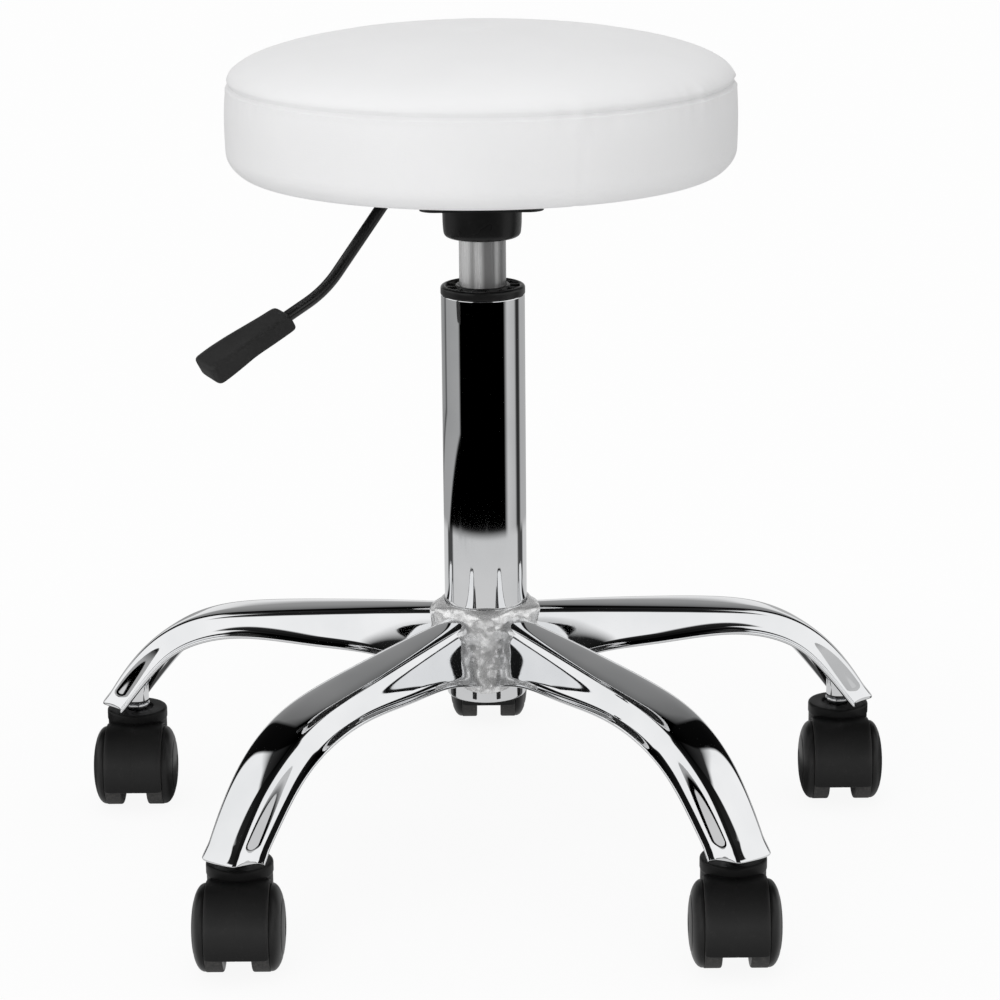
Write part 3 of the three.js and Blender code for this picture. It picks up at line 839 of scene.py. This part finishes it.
# Half of the leg's section, from the crown's middle to the lip: share of the crown's half width,
# share of the flare beyond it, and share of the height
LEG_SECTION = np.array(
    [
        (0, 0, 1.0),
        (0.35, 0, 0.995),
        (0.68, 0, 0.965),
        (0.92, 0.01, 0.87),
        (1.0, 0.08, 0.68),
        (1.0, 0.26, 0.38),
        (1.0, 0.46, 0.15),
        (1.0, 0.7, 0.05),
        (1.0, 1.0, 0.0),
    ]
)
LEG_WALL = 2.2 * MM
STEM_R = 5.5 * MM
COLLAR_R = 8 * MM
COLLAR_HEIGHT = 3.2 * MM
SOCKET_BORE = 5.8 * MM
SOCKET_R = 7.6 * MM
SOCKET_TOP = 73 * MM


def leg_sheet():
    """The outside of a leg that points along +X, as a grid from hub to end and from lip to lip.

    A point is lower edge + height share (crown - lower edge), off the middle by
    crown share * crown half width + flare share * (edge half width - crown half width).
    The end swells outwards by a millimetre where the pressing was trimmed.
    """
    along = shares(150, 0.3, LEG_WALL)
    stations = spline(LEG_STATIONS * MM, along)
    half = LEG_SECTION[::-1]
    section = np.concatenate([half * (-1, -1, 1), LEG_SECTION[1:]])
    section = spline(section[:, [0, 2, 1]] * (15, 18, 9), shares(73, 0.08, LEG_WALL)) / (15, 18, 9)
    share, height, flare = section.T[:, None, :]
    crown_x, crown_z, edge_x, edge_z, crown_half, edge_half = stations.T[:, :, None]
    end = smooth(along[:, None], 0.955, 1.0) * MM
    x = edge_x + height * (crown_x - edge_x) + end * height
    y = share * (crown_half + end) + flare * (edge_half - crown_half)
    z = edge_z + height * (crown_z - edge_z)
    return np.stack([x, y, z], axis=-1)


def hub_bulge(angle, z, r):
    """How far the welds stand out from the hub: a fillet between each pair of legs, and frozen ripples.

    The fillet is depth (0.5 - 0.5 cos 5 a)^0.8, with a from the middle of a leg. It is deepest low down.
    """
    points = about_z(r, angle, z)
    outer = smooth(r, 26 * MM, 29 * MM)
    between = 0.5 - 0.5 * np.cos(5 * (angle - math.radians(LEGS["right"])))
    depth = (3.8 + 5.2 * smooth(-z, -128 * MM, -106 * MM) + 1.0 * smooth(z, 138 * MM, 148 * MM)) * MM
    ripple = 0.5 * MM * lumps(points, 13 * MM, 11) + 0.1 * MM * lumps(points, 5 * MM, 12)
    return outer * (between**0.8 * depth + ripple)


class StoolBase(bpy.types.PropertyGroup):
    """The base's finish."""

    chrome_tint: bpy.props.FloatVectorProperty(
        name="Chrome colour", description="Colour of the plating", subtype="COLOR",
        size=3, default=(0.86, 0.865, 0.875), min=0, max=1,
    )
    chrome_roughness: bpy.props.FloatProperty(
        name="Chrome roughness", description="Blur of the plating's reflections",
        default=0.035, min=0, max=1,
    )


class STOOL_OT_base(bpy.types.Operator):
    """Makes the five pressed legs, their stem sockets and stems, and the welded hub"""

    bl_idname = "stool.base"
    bl_label = "Base"

    def execute(self, context):
        leg = plate(leg_sheet(), LEG_WALL)
        for name, degrees in LEGS.items():
            shell = spun(leg, degrees)
            piece_from(f"leg_shell_{name}", [shell], MATERIALS["chrome"], "base", [f"leg_{name}"])
            self.stem(name)
        self.hub()
        return {"FINISHED"}

    def hub(self):
        """The hub ring with the legs' welds, one lumpy band round the column's foot."""
        inner = radius("column_tube") + 0.1 * MM
        outer = radius("hub")
        bottom, top = low("hub")[2], high("hub")[2] + 0.6 * MM
        bevel = [(outer, top - 4 * MM), (outer - 3 * MM, top)]
        corners = [(inner, bottom), (outer, bottom), *bevel, (inner, top)]
        outline = loop(corners, np.array([0, 1.5, 3, 2, 1]) * MM, 8)
        along = lengths(outline)
        even = np.linspace(0, along[-1], 150)
        fine = np.stack([np.interp(even, along, values) for values in outline.T], axis=1)
        shell = turned(fine, 420, hub_bulge)
        piece_from("hub_welds", [shell], MATERIALS["weld"], "base", ["hub"])

    def stem(self, name):
        """A caster's stem with its collar, and the socket that it stands in."""
        node = f"caster_stem_{name}"
        place = middle(node) * (1, 1, 0)
        bottom, top = low(node)[2], high(node)[2]
        collar = high(f"caster_hood_{name}")[2] + 0.3 * MM
        collar_top = collar + COLLAR_HEIGHT
        corners = [
            (0, bottom), (STEM_R, bottom), (STEM_R, collar), (COLLAR_R, collar),
            (COLLAR_R, collar_top), (STEM_R, collar_top), (STEM_R, top), (0, top),
        ]
        outline = rounded(corners, np.array([1, 0.2, 0.6, 0.8, 0.3, 1.2]) * MM, 4)
        stem = moved(turned(outline, 48), place)
        piece_from(f"stem_{name}", [stem], MATERIALS["chrome"], "base", [node])
        node = f"stem_socket_{name}"
        bottom = low(node)[2]
        wall = [(SOCKET_BORE, bottom), (SOCKET_R, bottom), (SOCKET_R, SOCKET_TOP), (SOCKET_BORE, SOCKET_TOP)]
        socket = moved(lathed(wall, [0.4] * 4, 4, 48), place)
        piece_from(f"socket_{name}", [socket], MATERIALS["chrome"], "base", [node])


# ---------------------------------------------------------------- casters

HOOD_HALF = 18 * MM
HOOD_GAP = 14.6 * MM
HOOD_MOUTH = 6 * MM
HOOD_WALL = 1.3 * MM
WEB_HALF = 7.4 * MM
NECK_RISE = 16 * MM
WHEEL_INNER = 8 * MM
WHEEL_SHOULDER = 18 * MM
BORE_R = 3.3 * MM
BORE_END = 23.4 * MM
TREAD_DEPTH = 0.9 * MM


def hood_band(axle, hood_r, low_edge, mouth):
    """The hood's curved cover, a plate round the wheels from the front's lower edge to the back's mouth.

    A point is axle + (x, -r sin a, r cos a). r falls by a superellipse towards the band's two sides,
    and dips along the mould's parting line in the middle.
    """
    x = 2 * shares(81, 2 * HOOD_HALF, HOOD_WALL)[None, :] - 1
    front = math.acos((low_edge - axle[2]) / hood_r)
    back = -math.acos((mouth - axle[2]) / hood_r)
    angle = back + (front - back) * shares(110, hood_r * (front - back), HOOD_WALL)[:, None]
    r = hood_r - 1.6 * MM * (1 - (1 - np.abs(x) ** 9) ** (1 / 2.2)) - 0.12 * MM * np.exp(-((x / 0.02) ** 2))
    return plate(about_x(r, angle, x * HOOD_HALF) + axle, HOOD_WALL)


def hood_web(axle, hood_r, low_edge):
    """The solid web between the wheels: a disc cut level at the lower edge, with eased rims.

    Its radius is the smaller of the hood's and the distance to the cut, -cut / cos a, made soft by a
    power mean, and its width follows a superellipse.
    """
    angle = circle(160)
    turn = np.linspace(-math.pi / 2, math.pi / 2, 41)[:, None]
    inner = hood_r - 0.4 * MM
    cut = (axle[2] - low_edge) / np.maximum(-np.cos(angle), 1e-3)
    reach = (inner**-14.0 + cut**-14.0) ** (-1 / 14)
    points = about_x(reach * np.cos(turn) ** 0.12, angle, WEB_HALF * boxy(np.sin(turn), 0.22))
    return points.reshape(-1, 3) + axle, grid_faces(*points.shape[:2], False, True)


def hood_neck(place, bottom, top):
    """The round neck that turns on the stem: a ring with an eased rim, a groove below it and a dished top."""
    groove, rim, dish = top - 7.2 * MM, top - 6.4 * MM, top - 1.2 * MM
    r = np.array([5.9, 18.6, 18.6, 19, 19, 10.5, 9.5, 5.9]) * MM
    corners = np.stack([r, [bottom, bottom, groove, rim, top, top, dish, dish]], axis=1)
    return moved(lathed(corners, [0.2, 0.2, 0.4, 0.4, 1.8, 0.5, 0.5, 0.3], 7, 96), place)


def wheel_outline(face):
    """Half of a wheel's section as (radius, x): blind bore, inner face, tread, groove, and a domed cover.

    The dome is the superellipse x = shoulder + depth (1 - (r / R)^2.4)^(1 / 2.2), with a shallow ring in it.
    """
    wheel_r = radius_of_wheel()
    dish = WHEEL_INNER + 0.8 * MM
    bore = [(0, BORE_END), (BORE_R, BORE_END), (BORE_R, WHEEL_INNER), (6 * MM, WHEEL_INNER)]
    inside = [(9 * MM, dish), (20 * MM, dish), (21.5 * MM, WHEEL_INNER)]
    tread = [(wheel_r, WHEEL_INNER), (wheel_r, WHEEL_SHOULDER)]
    groove = (wheel_r - 0.6 * MM, WHEEL_SHOULDER + 0.1 * MM)
    radii = np.array([0.1, 0.3, 0.5, 0.8, 1, 0.8, 1.4, 1.0]) * MM
    eased = rounded([*bore, *inside, *tread, groove], radii, 6)
    turn = np.linspace(0, math.pi / 2, 90)[1:]
    r = (wheel_r - 0.3 * MM) * np.cos(turn) ** (2 / 2.4)
    x = WHEEL_SHOULDER + 0.3 * MM + (face - WHEEL_SHOULDER - 0.3 * MM) * np.sin(turn) ** (2 / 2.2)
    x -= 0.35 * MM * np.exp(-(((r - 16.5 * MM) / (0.55 * MM)) ** 2))
    x -= 0.5 * MM * (1 - smooth(r, 5.2 * MM, 6.4 * MM))
    r[-1] = 0
    return np.concatenate([eased, np.stack([r, x], axis=1)])


def radius_of_wheel():
    """The wheels' radius, from the axle's height over the floor."""
    return middle("caster_axle_rear")[2] - CAD_BOX[0][2]


class StoolCasters(bpy.types.PropertyGroup):
    """The casters' and other black parts' finish."""

    nylon_shade: bpy.props.FloatProperty(
        name="Nylon brightness", description="Brightness of the black nylon", default=0.02, min=0, max=1
    )
    grip_shade: bpy.props.FloatProperty(
        name="Grip brightness", description="Brightness of the lever's grip", default=0.018, min=0, max=1
    )


class STOOL_OT_casters(bpy.types.Operator):
    """Makes the five twin-wheel casters"""

    bl_idname = "stool.casters"
    bl_label = "Casters"

    def execute(self, context):
        face = high("wheel_right_rear")[0] - middle("caster_axle_rear")[0]
        outline = wheel_outline(face)
        for name in LEGS:
            self.hood(name)
            for side, sign in (("left", -1), ("right", 1)):
                self.wheel(name, side, sign, outline)
        return {"FINISHED"}

    def hood(self, name):
        """A caster's hood: cover, web and neck in one piece."""
        node = f"caster_hood_{name}"
        axle = middle(f"caster_axle_{name}")
        stem = middle(f"caster_stem_{name}")
        hood_r = axle[1] - low(node)[1]
        low_edge = CAD_BOX[0][2] + HOOD_GAP
        body = f"caster_{name}"
        cover = hood_band(axle, hood_r, low_edge, axle[2] + HOOD_MOUTH)
        piece_from(f"hood_cover_{name}", [cover], MATERIALS["hood"], body)
        web = hood_web(axle, hood_r, low_edge)
        neck = hood_neck(stem * (1, 1, 0), axle[2] + NECK_RISE, high(node)[2])
        piece_from(f"hood_body_{name}", [web, neck], MATERIALS["hood"], body, [node])

    def wheel(self, name, side, sign, outline):
        """One wheel, turned about its axle, with a dull running band."""
        axle = middle(f"caster_axle_{name}")
        shell = moved(laid_over(turned(outline * (1, sign), 120)), axle)
        node = f"wheel_{side}_{name}"
        wheel = piece_from(f"twin_{node}", [shell], MATERIALS["wheel"], node, [node])
        wheel.data.materials.append(MATERIALS["tread"])
        centres = np.empty(len(wheel.data.polygons) * 3)
        wheel.data.polygons.foreach_get("center", centres)
        offset = centres.reshape(-1, 3) - axle
        runs = np.hypot(offset[:, 1], offset[:, 2]) > radius_of_wheel() - TREAD_DEPTH
        runs &= np.abs(offset[:, 0]) < WHEEL_SHOULDER
        wheel.data.polygons.foreach_set("material_index", runs.astype(np.int32))


# ---------------------------------------------------------------- column and gas lift

TUBE_WALL = 1.8 * MM
TUBE_FLOOR = 6 * MM
VALVE_BORE = 5.4 * MM
BUSH_BORE = 14.3 * MM
RIBS = 12
RELEASE_BORE = 3.4 * MM
LIFT_BORE = 12 * MM
BOOT_BORE = 14.4 * MM
BOOT_HOLLOW = 17.5 * MM

class STOOL_OT_column(bpy.types.Operator):
    """Makes the column tube, its guide bush, the lift's pressure tube and the boot"""

    bl_idname = "stool.column"
    bl_label = "Column"

    def execute(self, context):
        self.tube()
        self.bush()
        self.lift()
        self.boot()
        return {"FINISHED"}

    def tube(self):
        """The chromed outer tube, with its foot below the hub and the floor that the lift stands on."""
        bottom, top = low("column_tube")[2], high("column_tube")[2]
        outer = radius("column_tube")
        inner, foot = outer - TUBE_WALL, outer - 0.8 * MM
        opening = inner - 1.5 * MM
        hub = low("hub")[2]
        floor = bottom + TUBE_FLOOR
        floor_top = floor + 3 * MM
        corners = [
            (opening, bottom), (foot, bottom), (foot, hub), (outer, hub + 1 * MM), (outer, top), (inner, top),
            (inner, floor_top), (VALVE_BORE, floor_top), (VALVE_BORE, floor), (opening, floor),
        ]
        shell = lathed(corners, [0.5, 2.2, 0.3, 0.3, 0.8, 0.3, 0.5, 0.2, 0.2, 0.5], 6, 160)
        piece_from("column_shell", [shell], MATERIALS["chrome"], "base", ["column_tube"])

    def bush(self):
        """The bush's flange: a stepped cap whose dished top has short ribs round the lift."""
        bottom, top = low("guide_bush")[2], high("guide_bush")[2]
        outer = radius("guide_bush") + 0.25 * MM
        sleeve = outer - 2.4 * MM
        seat = high("column_tube")[2] + 0.15 * MM
        dish = top - 1.8 * MM
        corners = [
            (BUSH_BORE, bottom), (sleeve, bottom), (sleeve, seat), (outer, seat), (outer, top - 0.6 * MM),
            (outer - 2.6 * MM, top), (outer - 3.6 * MM, dish), (BUSH_BORE + 2.4 * MM, dish),
            (BUSH_BORE + 1.8 * MM, top), (BUSH_BORE, top),
        ]
        shells = [lathed(corners, [0.3, 0.3, 0.2, 0.5, 1.6, 0.8, 0.5, 0.4, 0.5, 0.4], 6, 144)]
        rib = self.rib(BUSH_BORE + 1.6 * MM, outer - 2.8 * MM, top)
        shells += [spun(rib, number * 360 / RIBS + 10) for number in range(RIBS)]
        piece_from("bush_cap", shells, MATERIALS["bush"], "base", ["guide_bush"])

    def rib(self, start, end, top):
        """A short rib across the bush's dished top: a box with a rounded back."""
        x = np.linspace(start, end, 7)[:, None]
        turn = circle(24)
        y = 0.7 * MM * boxy(np.cos(turn), 0.6)
        z = top - 1.6 * MM + 0.9 * MM * boxy(np.sin(turn), 0.6)
        return capped(np.stack([x + 0 * turn, y + 0 * x, z + 0 * x], axis=-1))

    def lift(self):
        """The lift's satin pressure tube, necked at its foot and tapered at its top."""
        bottom, top = low("pressure_tube")[2], high("pressure_tube")[2]
        outer = radius("pressure_tube")
        rod_bore, floor = 5.3 * MM, bottom + 8 * MM
        corners = [
            (rod_bore, bottom), (outer, bottom), (outer, top - 21 * MM), (outer - 0.9 * MM, top),
            (RELEASE_BORE, top), (RELEASE_BORE, top - 27 * MM), (LIFT_BORE, top - 33 * MM),
            (LIFT_BORE, floor), (rod_bore, floor),
        ]
        shell = lathed(corners, [0.3, 1.5, 0.5, 0.6, 0.3, 0.5, 1, 1, 0.3], 5, 128)
        piece_from("lift_tube", [shell], MATERIALS["satin"], "seat", ["pressure_tube"])

    def boot(self):
        """The boot round the lift's taper, a cup with a rounded lower edge and a faint waist."""
        bottom, top = low("lift_boot")[2], high("lift_boot")[2]
        outer = radius("lift_boot")
        floor = bottom + 3.6 * MM
        corners = [
            (BOOT_BORE, bottom + 0.6 * MM), (16 * MM, bottom), (outer - 1.0 * MM, bottom),
            (outer - 0.3 * MM, bottom + 7 * MM), (outer, top), (BOOT_HOLLOW, top), (BOOT_HOLLOW, floor),
            (BOOT_BORE, floor),
        ]
        shell = lathed(corners, [0.5, 0.5, 3.2, 2.5, 0.6, 0.5, 0.5, 0.5], 8, 128)
        piece_from("boot_cup", [shell], MATERIALS["bush"], "seat", ["lift_boot"])


# ---------------------------------------------------------------- lever

LEVER_DIRECTION = 205
LEVER_LEVEL = 408.1 * MM
LEVER_R = 3.5 * MM
LEVER_BENDS = [(-4 * MM, LEVER_LEVEL), (57 * MM, LEVER_LEVEL), (101 * MM, 352.6 * MM), (143 * MM, 329.7 * MM)]
BOSS_BORE = 2.8 * MM
BOSS_R = 4.9 * MM
BOSS_HALF = 5 * MM
GRIP_START = (125 * MM, 0, 339.5 * MM)
GRIP_LENGTH = 58 * MM
GRIP_DROP = 28.6
GRIP_TILT = 2


def grip_shell():
    """The paddle grip along +X: rounded boxes whose half width and thickness vary along it.

    A section is (w sign(cos) |cos|^0.3, t sign(sin) |sin|^0.3), and both shrink at the ends by
    (1 - |2 s - 1|^26)^(1 / 3.2), with s the share of the length. The upper edge bows out at two thirds of
    the length, the lower one has a slight waist, and the top is dished.
    """
    s = (1 - np.cos(np.linspace(0, math.pi, 90)))[:, None] / 2
    s = 0.5 + (s - 0.5) * (1 - 1e-6)
    turn = circle(96)
    ends = (1 - np.abs(2 * s - 1) ** 26) ** (1 / 3.2)
    rear = (12.8 + 4.6 * smooth(s, 0, 0.65) - 1.8 * smooth(s, 0.74, 1)) * MM
    front = (12.6 + 1.8 * s - 1.3 * np.exp(-(((s - 0.5) / 0.16) ** 2)) + 1.2 * smooth(s, 0.55, 1)) * MM
    side, up = boxy(np.cos(turn), 0.3), boxy(np.sin(turn), 0.3)
    half = np.where(side > 0, front, rear)
    thick = (5.2 + 1.0 * smooth(s, 0.2, 1)) * MM
    dish = 0.7 * MM * smooth(s, 0.25, 0.55) * smooth(-s, -0.95, -0.7) * (1 - side**2) * (up > 0)
    y, z = half * side * (0.12 + 0.88 * ends), (thick * up - dish) * ends
    points, faces = capped(np.stack([s * GRIP_LENGTH + 0 * turn, y, z], axis=-1))
    tilt, drop = math.radians(GRIP_TILT), math.radians(GRIP_DROP)
    pose = Matrix.Rotation(drop, 3, "Y") @ Matrix.Rotation(-tilt, 3, "X")
    return moved((points @ np.array(pose).T, faces), GRIP_START)


class STOOL_OT_lever(bpy.types.Operator):
    """Makes the bent lever and its paddle grip"""

    bl_idname = "stool.lever"
    bl_label = "Lever"

    def execute(self, context):
        x, z = rounded(LEVER_BENDS, [11 * MM, 13 * MM], 22).T
        rod = tube(np.stack([x, 0 * x, z], axis=1), LEVER_R, 32)
        corners = [(BOSS_BORE, -BOSS_HALF), (BOSS_R, -BOSS_HALF), (BOSS_R, BOSS_HALF), (BOSS_BORE, BOSS_HALF)]
        boss, faces = lathed(corners, [0.5] * 4, 4, 48)
        pivot = np.hypot(*middle("lever_pivot_pin")[:2])
        boss = (boss[:, [0, 2, 1]] + (pivot, 0, LEVER_LEVEL), faces)
        rod, boss, grip = (spun(shell, LEVER_DIRECTION) for shell in (rod, boss, grip_shell()))
        piece_from("lever_bar", [rod, boss], MATERIALS["lever"], "lever", ["lever_rod"])
        piece_from("lever_paddle", [grip], MATERIALS["grip"], "lever", ["lever_grip"])
        return {"FINISHED"}


# ---------------------------------------------------------------- carried-over parts


class STOOL_OT_finishes(bpy.types.Operator):
    """Makes every finish and gives the carried-over parts theirs"""

    bl_idname = "stool.finishes"
    bl_label = "Finishes"

    def execute(self, context):
        make_finishes(context.scene)
        for finish, nodes in CARRIED_OVER.items():
            for node in nodes:
                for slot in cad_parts[node].material_slots:
                    slot.material = MATERIALS[finish]
        return {"FINISHED"}


# ---------------------------------------------------------------- stage

WHITE = 0.985
FLOOR_HALF = 12.0
SENSOR_WIDTH = 36
LIGHTS_AIM = Vector((0, 0, 0.35))
# Each row: name, place in metres, width in metres, watts
LIGHTS = (
    ("key", (-1.1, -1.7, 2.2), 1.8, 14),
    ("top", (0, 0.1, 2.6), 1.6, 14),
    ("front", (-0.5, -2.1, 0.6), 1.2, 7),
)
# What mirrors see of the floor, as stops of (heading, brightness): 0.5 is towards the camera, 0.75 to +X
NEAR_FLOOR = (
    (0.14, 0.66), (0.155, 0.07), (0.21, 0.07), (0.225, 0.66),
    (0.775, 0.66), (0.79, 0.07), (0.845, 0.07), (0.86, 0.66),
)
FAR_LEFT = ((0, 0.4), (0.13, 0.3), (0.15, 0.06), (0.17, 0.36), (0.3, 0.4), (0.315, 0.0))
FAR_RIGHT = ((0.66, 0.0), (0.69, 0.6), (0.76, 0.5), (0.78, 0.03), (0.81, 0.03), (0.83, 0.45))
# What mirrors see of the room, as stops of (height, brightness), from behind the stool round to the front,
# and the angles in degrees from +Y where each part gives way to the next
BEHIND = ((0, 0.9), (0.16, 0.8), (0.23, 0.33), (0.34, 0.29), (0.57, 0.22), (0.7, 0.17), (0.8, 0.0))
GAP = ((0, 0.7), (0.08, 0.5), (0.14, 0.01), (1, 0.0))
HIGH_PANEL = ((0, 1.0), (0.78, 1.0), (0.82, 0.03), (1, 0.0))
LOW_PANEL = ((0, 1.0), (0.52, 1.0), (0.58, 0.02), (1, 0.0))
FRONT = ((0, 0.015), (1, 0.005))
WALLS = ((28, GAP), (60, HIGH_PANEL), (112, LOW_PANEL), (152, FRONT))


class StoolStage(bpy.types.PropertyGroup):
    """The camera and the studio."""

    lens: bpy.props.FloatProperty(
        name="Focal length", description="Focal length in millimetres", default=115.9, min=1
    )
    camera_place: bpy.props.FloatVectorProperty(
        name="Camera", description="Where the camera stands", subtype="XYZ", unit="LENGTH",
        size=3, default=(0.01104, -1.88004, 0.7358),
    )
    camera_turn: bpy.props.FloatVectorProperty(
        name="Camera turn", description="Downward pitch, heading and roll, in radians",
        size=3, default=(0.2710, -0.0010, -0.0086),
    )
    sky: bpy.props.FloatProperty(
        name="Surround", description="Brightness of the white surround", default=0.69, min=0
    )


class STOOL_OT_stage(bpy.types.Operator):
    """Makes the camera, the pale floor, the soft lights and the surround"""

    bl_idname = "stool.stage"
    bl_label = "Stage"

    def execute(self, context):
        settings = context.scene.stool_stage
        self.camera(context.scene, settings)
        self.floor()
        self.surround(context.scene, settings)
        for name, place, size, watts in LIGHTS:
            self.light(name, place, size, watts)
        context.scene.view_settings.view_transform = "Standard"
        return {"FINISHED"}

    def camera(self, scene, settings):
        """The camera, from its place and its pitch, heading and roll."""
        pitch, heading, roll = settings.camera_turn
        level = math.cos(pitch)
        ahead = Vector((math.sin(heading) * level, math.cos(heading) * level, -math.sin(pitch)))
        right = Vector((math.cos(heading), -math.sin(heading), 0))
        up = right.cross(ahead)
        cos, sin = math.cos(roll), math.sin(roll)
        right, up = right * cos + up * sin, up * cos - right * sin
        data = bpy.data.cameras.new("camera")
        data.lens = settings.lens
        data.sensor_width = SENSOR_WIDTH
        data.clip_start = 0.05
        camera = bpy.data.objects.new("camera", data)
        scene.collection.objects.link(camera)
        turn = Matrix((right, up, -ahead)).transposed().to_4x4()
        camera.matrix_world = Matrix.Translation(settings.camera_place) @ turn
        scene.camera = camera

    def light(self, name, place, size, watts):
        """A square soft light that faces the stool's middle and shows in no mirror."""
        data = bpy.data.lights.new(name, "AREA")
        data.energy = watts
        data.size = size
        lamp = bpy.data.objects.new(name, data)
        lamp.location = place
        lamp.rotation_euler = (Vector(place) - LIGHTS_AIM).to_track_quat("Z", "Y").to_euler()
        lamp.visible_glossy = False
        bpy.context.scene.collection.objects.link(lamp)

    def floor(self):
        """A pale sheet that takes the stool's shadow, and is clear from below.

        It glows almost plain white to the camera, and glows for mirrors only with a painted pattern: light
        near the stool but for a dark strip at each side, and further out dark and light bands, with dark ones
        towards the camera.
        """
        mesh = bpy.data.meshes.new("floor")
        level = CAD_BOX[0][2] - 0.05 * MM
        corners = [(x * FLOOR_HALF, y * FLOOR_HALF, level) for x, y in ((-1, -1), (1, -1), (1, 1), (-1, 1))]
        mesh.from_pydata(corners, [], [(0, 1, 2, 3)])
        floor = bpy.data.objects.new("floor", mesh)
        bpy.context.scene.collection.objects.link(floor)
        finish = Finish("floor_sheet", Roughness=0.9, Specular_IOR_Level=0.1, Base_Color=grey(0.93))
        x, y, _ = finish.node("SeparateXYZ", {"Vector": finish.place}).outputs
        squares = [finish.maths("MULTIPLY", side, side) for side in (x, y)]
        reach = finish.maths("SQRT", finish.maths("ADD", *squares))
        heading = finish.maths("ARCTAN2", x, finish.maths("MULTIPLY", y, -1.0))
        heading = finish.between(heading, -math.pi, math.pi, 0, 1)
        drawn_in = finish.maths("ADD", heading, finish.between(reach, 0.74, 1.25, 0.13, 0))
        left, right = finish.ramp(drawn_in, FAR_LEFT), finish.ramp(heading, FAR_RIGHT)
        far = finish.blend(finish.between(heading, 0.49, 0.51, 0, 1), left, right)
        near = finish.ramp(heading, NEAR_FLOOR)
        mirror = finish.blend(finish.between(reach, 0.70, 0.74, 1, 0), far, near)
        path = finish.node("LightPath").outputs
        seen = finish.maths("MULTIPLY", path["Is Camera Ray"], finish.between(reach, 0.34, 0.6, 0.93, 1.0))
        surface = finish.shader.outputs[0]
        # The floor glows: near-white to the camera, and a painted pattern that only mirrors see.
        for share, colour in ((seen, grey(WHITE)), (path["Is Glossy Ray"], mirror)):
            surface = finish.cover(surface, share, finish.node("Emission", {"Color": colour}).outputs[0])
        below, clear = finish.node("NewGeometry"), finish.node("BsdfTransparent")
        surface = finish.cover(surface, below.outputs["Backfacing"], clear.outputs[0])
        finish.tree.links.new(surface, finish.tree.nodes["Material Output"].inputs[0])
        mesh.materials.append(finish.material)

    def surround(self, scene, settings):
        """White all round, but mirrors see a studio: grey behind, white at the sides and dark in front."""
        world = bpy.data.worlds.new("surround")
        world.use_nodes = True
        scene.world = world
        studio = Nodes(world.node_tree)
        place = studio.node("TexCoord").outputs["Generated"]
        x, y, z = studio.node("SeparateXYZ", {"Vector": place}).outputs
        turn = studio.maths("ARCTAN2", studio.maths("ABSOLUTE", x), y)
        room = studio.ramp(z, BEHIND)
        for degrees, stops in WALLS:
            start = math.radians(degrees)
            past = studio.between(turn, start - 0.03, start + 0.03, 0, 1)
            room = studio.blend(past, room, studio.ramp(z, stops))
        path = studio.node("LightPath").outputs
        mirrored, seen = path["Is Glossy Ray"], path["Is Camera Ray"]
        colour = studio.blend(mirrored, grey(WHITE), room)
        strength = studio.between(studio.maths("ADD", mirrored, seen), 0, 1, settings.sky, 1.0)
        world.cycles.sampling_method = "NONE"
        background = studio.tree.nodes["Background"]
        studio.tree.links.new(colour, background.inputs["Color"])
        studio.tree.links.new(strength, background.inputs["Strength"])


# ---------------------------------------------------------------- add-on


class STOOL_PT_panel(bpy.types.Panel):
    """The stool's parts, in the order that they are made"""

    bl_label = "Stylist Stool"
    bl_idname = "STOOL_PT_panel"
    bl_space_type = "VIEW_3D"
    bl_region_type = "UI"
    bl_category = "Stool"

    def draw(self, context):
        for key, group in SETTINGS.items():
            box = self.layout.box()
            for name in group.__annotations__:
                box.prop(getattr(context.scene, key), name)
        for operator in OPERATORS:
            self.layout.operator(operator.bl_idname)


SETTINGS = {
    "stool_seat": StoolSeat,
    "stool_base": StoolBase,
    "stool_casters": StoolCasters,
    "stool_stage": StoolStage,
}
OPERATORS = (
    STOOL_OT_finishes,
    STOOL_OT_cushion,
    STOOL_OT_base,
    STOOL_OT_casters,
    STOOL_OT_column,
    STOOL_OT_lever,
    STOOL_OT_stage,
)


def register():
    """Registers the settings, operators and panel."""
    for key, group in SETTINGS.items():
        bpy.utils.register_class(group)
        setattr(bpy.types.Scene, key, bpy.props.PointerProperty(type=group))
    for made in (*OPERATORS, STOOL_PT_panel):
        bpy.utils.register_class(made)


def unregister():
    """Takes them away again."""
    for made in (STOOL_PT_panel, *reversed(OPERATORS)):
        bpy.utils.unregister_class(made)
    for key, group in reversed(SETTINGS.items()):
        delattr(bpy.types.Scene, key)
        bpy.utils.unregister_class(group)


def main():
    """Builds the whole stool on its stage."""
    register()
    bpy.ops.stool.finishes()
    bpy.ops.stool.cushion()
    bpy.ops.stool.base()
    bpy.ops.stool.casters()
    bpy.ops.stool.column()
    bpy.ops.stool.lever()
    bpy.ops.stool.stage()


if __name__ == "__main__":
    main()
